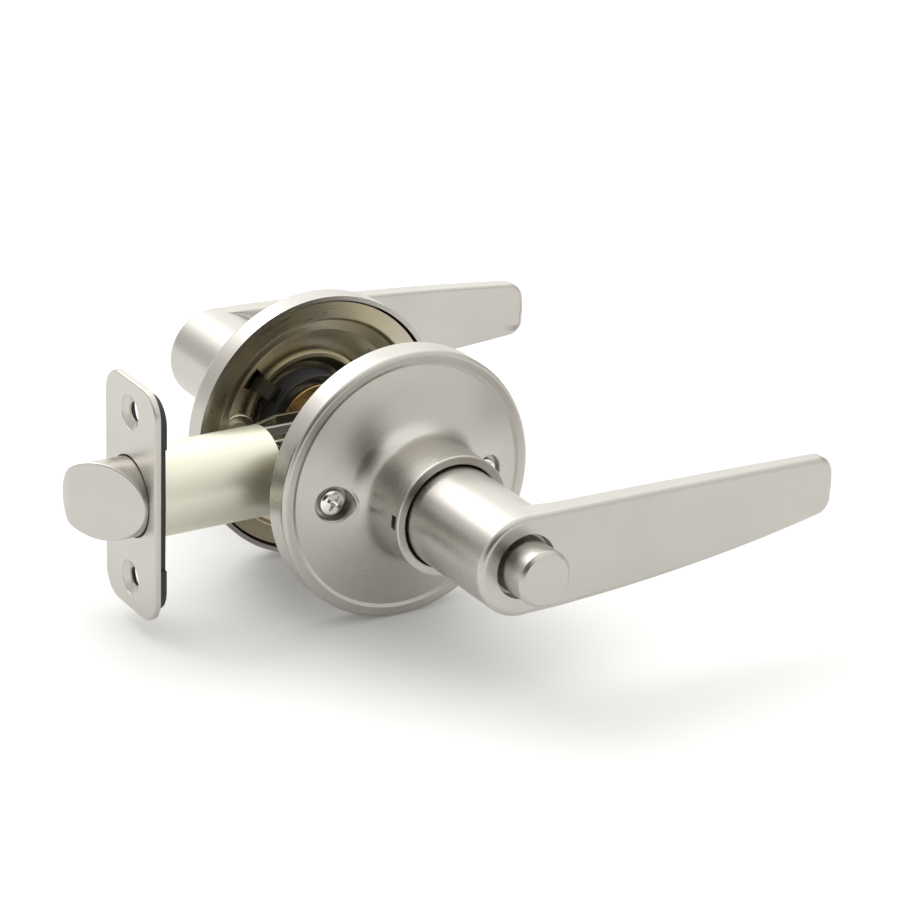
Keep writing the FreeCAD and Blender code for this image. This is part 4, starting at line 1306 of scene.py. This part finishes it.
class LEVERSET_OT_stage(bpy.types.Operator):
    """Make the floor, the studio light and the camera"""

    bl_idname = "lever_set.stage"
    bl_label = "Stage"

    def execute(self, context):
        stage = context.scene.lever_set_stage
        low = CAD_BOX[0][2]
        mesh = bpy.data.meshes.new("floor")
        reach = 6.0
        mesh.from_pydata([(-reach, -reach, low), (reach, -reach, low), (reach, reach, low), (-reach, reach, low)],
                         [], [(0, 1, 2, 3)])
        mesh.materials.append(floor_material(tuple(stage.floor)))
        floor = bpy.data.objects.new("floor", mesh)
        context.scene.collection.objects.link(floor)
        studio(stage.sky_strength)
        area_light("key", (-0.25, 0.75, 0.95), (0, 0, 0), (0.9, 0.7), stage.key_power)
        context.scene.view_settings.view_transform = "Standard"
        context.scene.view_settings.look = "None"
        add_camera(stage.lens)
        return {"FINISHED"}


class LEVERSET_PT_panel(bpy.types.Panel):
    """Lists the settings and the pieces"""

    bl_idname = "LEVERSET_PT_panel"
    bl_label = "Door lever set"
    bl_space_type = "VIEW_3D"
    bl_region_type = "UI"
    bl_category = "Lever set"

    def draw(self, context):
        scene = context.scene
        for title, group in (("Sizes", scene.lever_set_sizes), ("Finishes", scene.lever_set_finishes),
                             ("Stage", scene.lever_set_stage)):
            box = self.layout.box()
            box.label(text=title)
            for name in group.__annotations__:
                box.prop(group, name)
        for operator in OPERATORS:
            self.layout.operator(operator.bl_idname)


OPERATORS = (
    LEVERSET_OT_roses, LEVERSET_OT_levers, LEVERSET_OT_button, LEVERSET_OT_through_bolts,
    LEVERSET_OT_mounting_plates, LEVERSET_OT_drive, LEVERSET_OT_faceplate, LEVERSET_OT_latch, LEVERSET_OT_stage)
GROUPS = (LeverSetSizes, LeverSetFinishes, LeverSetStage)
FRAME_BODY = {name: piece["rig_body"] for name, piece in FRAME["nodes"].items()}


def register():
    for cls in GROUPS + OPERATORS + (LEVERSET_PT_panel,):
        bpy.utils.register_class(cls)
    bpy.types.Scene.lever_set_sizes = PointerProperty(type=LeverSetSizes)
    bpy.types.Scene.lever_set_finishes = PointerProperty(type=LeverSetFinishes)
    bpy.types.Scene.lever_set_stage = PointerProperty(type=LeverSetStage)


def unregister():
    del bpy.types.Scene.lever_set_sizes
    del bpy.types.Scene.lever_set_finishes
    del bpy.types.Scene.lever_set_stage
    for cls in reversed(GROUPS + OPERATORS + (LEVERSET_PT_panel,)):
        bpy.utils.unregister_class(cls)


def main():
    """Registers the add-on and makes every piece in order."""
    register()
    bpy.ops.lever_set.roses()
    bpy.ops.lever_set.levers()
    bpy.ops.lever_set.button()
    bpy.ops.lever_set.through_bolts()
    bpy.ops.lever_set.mounting_plates()
    bpy.ops.lever_set.drive()
    bpy.ops.lever_set.faceplate()
    bpy.ops.lever_set.latch()
    bpy.ops.lever_set.stage()


if __name__ == "__main__":
    main()
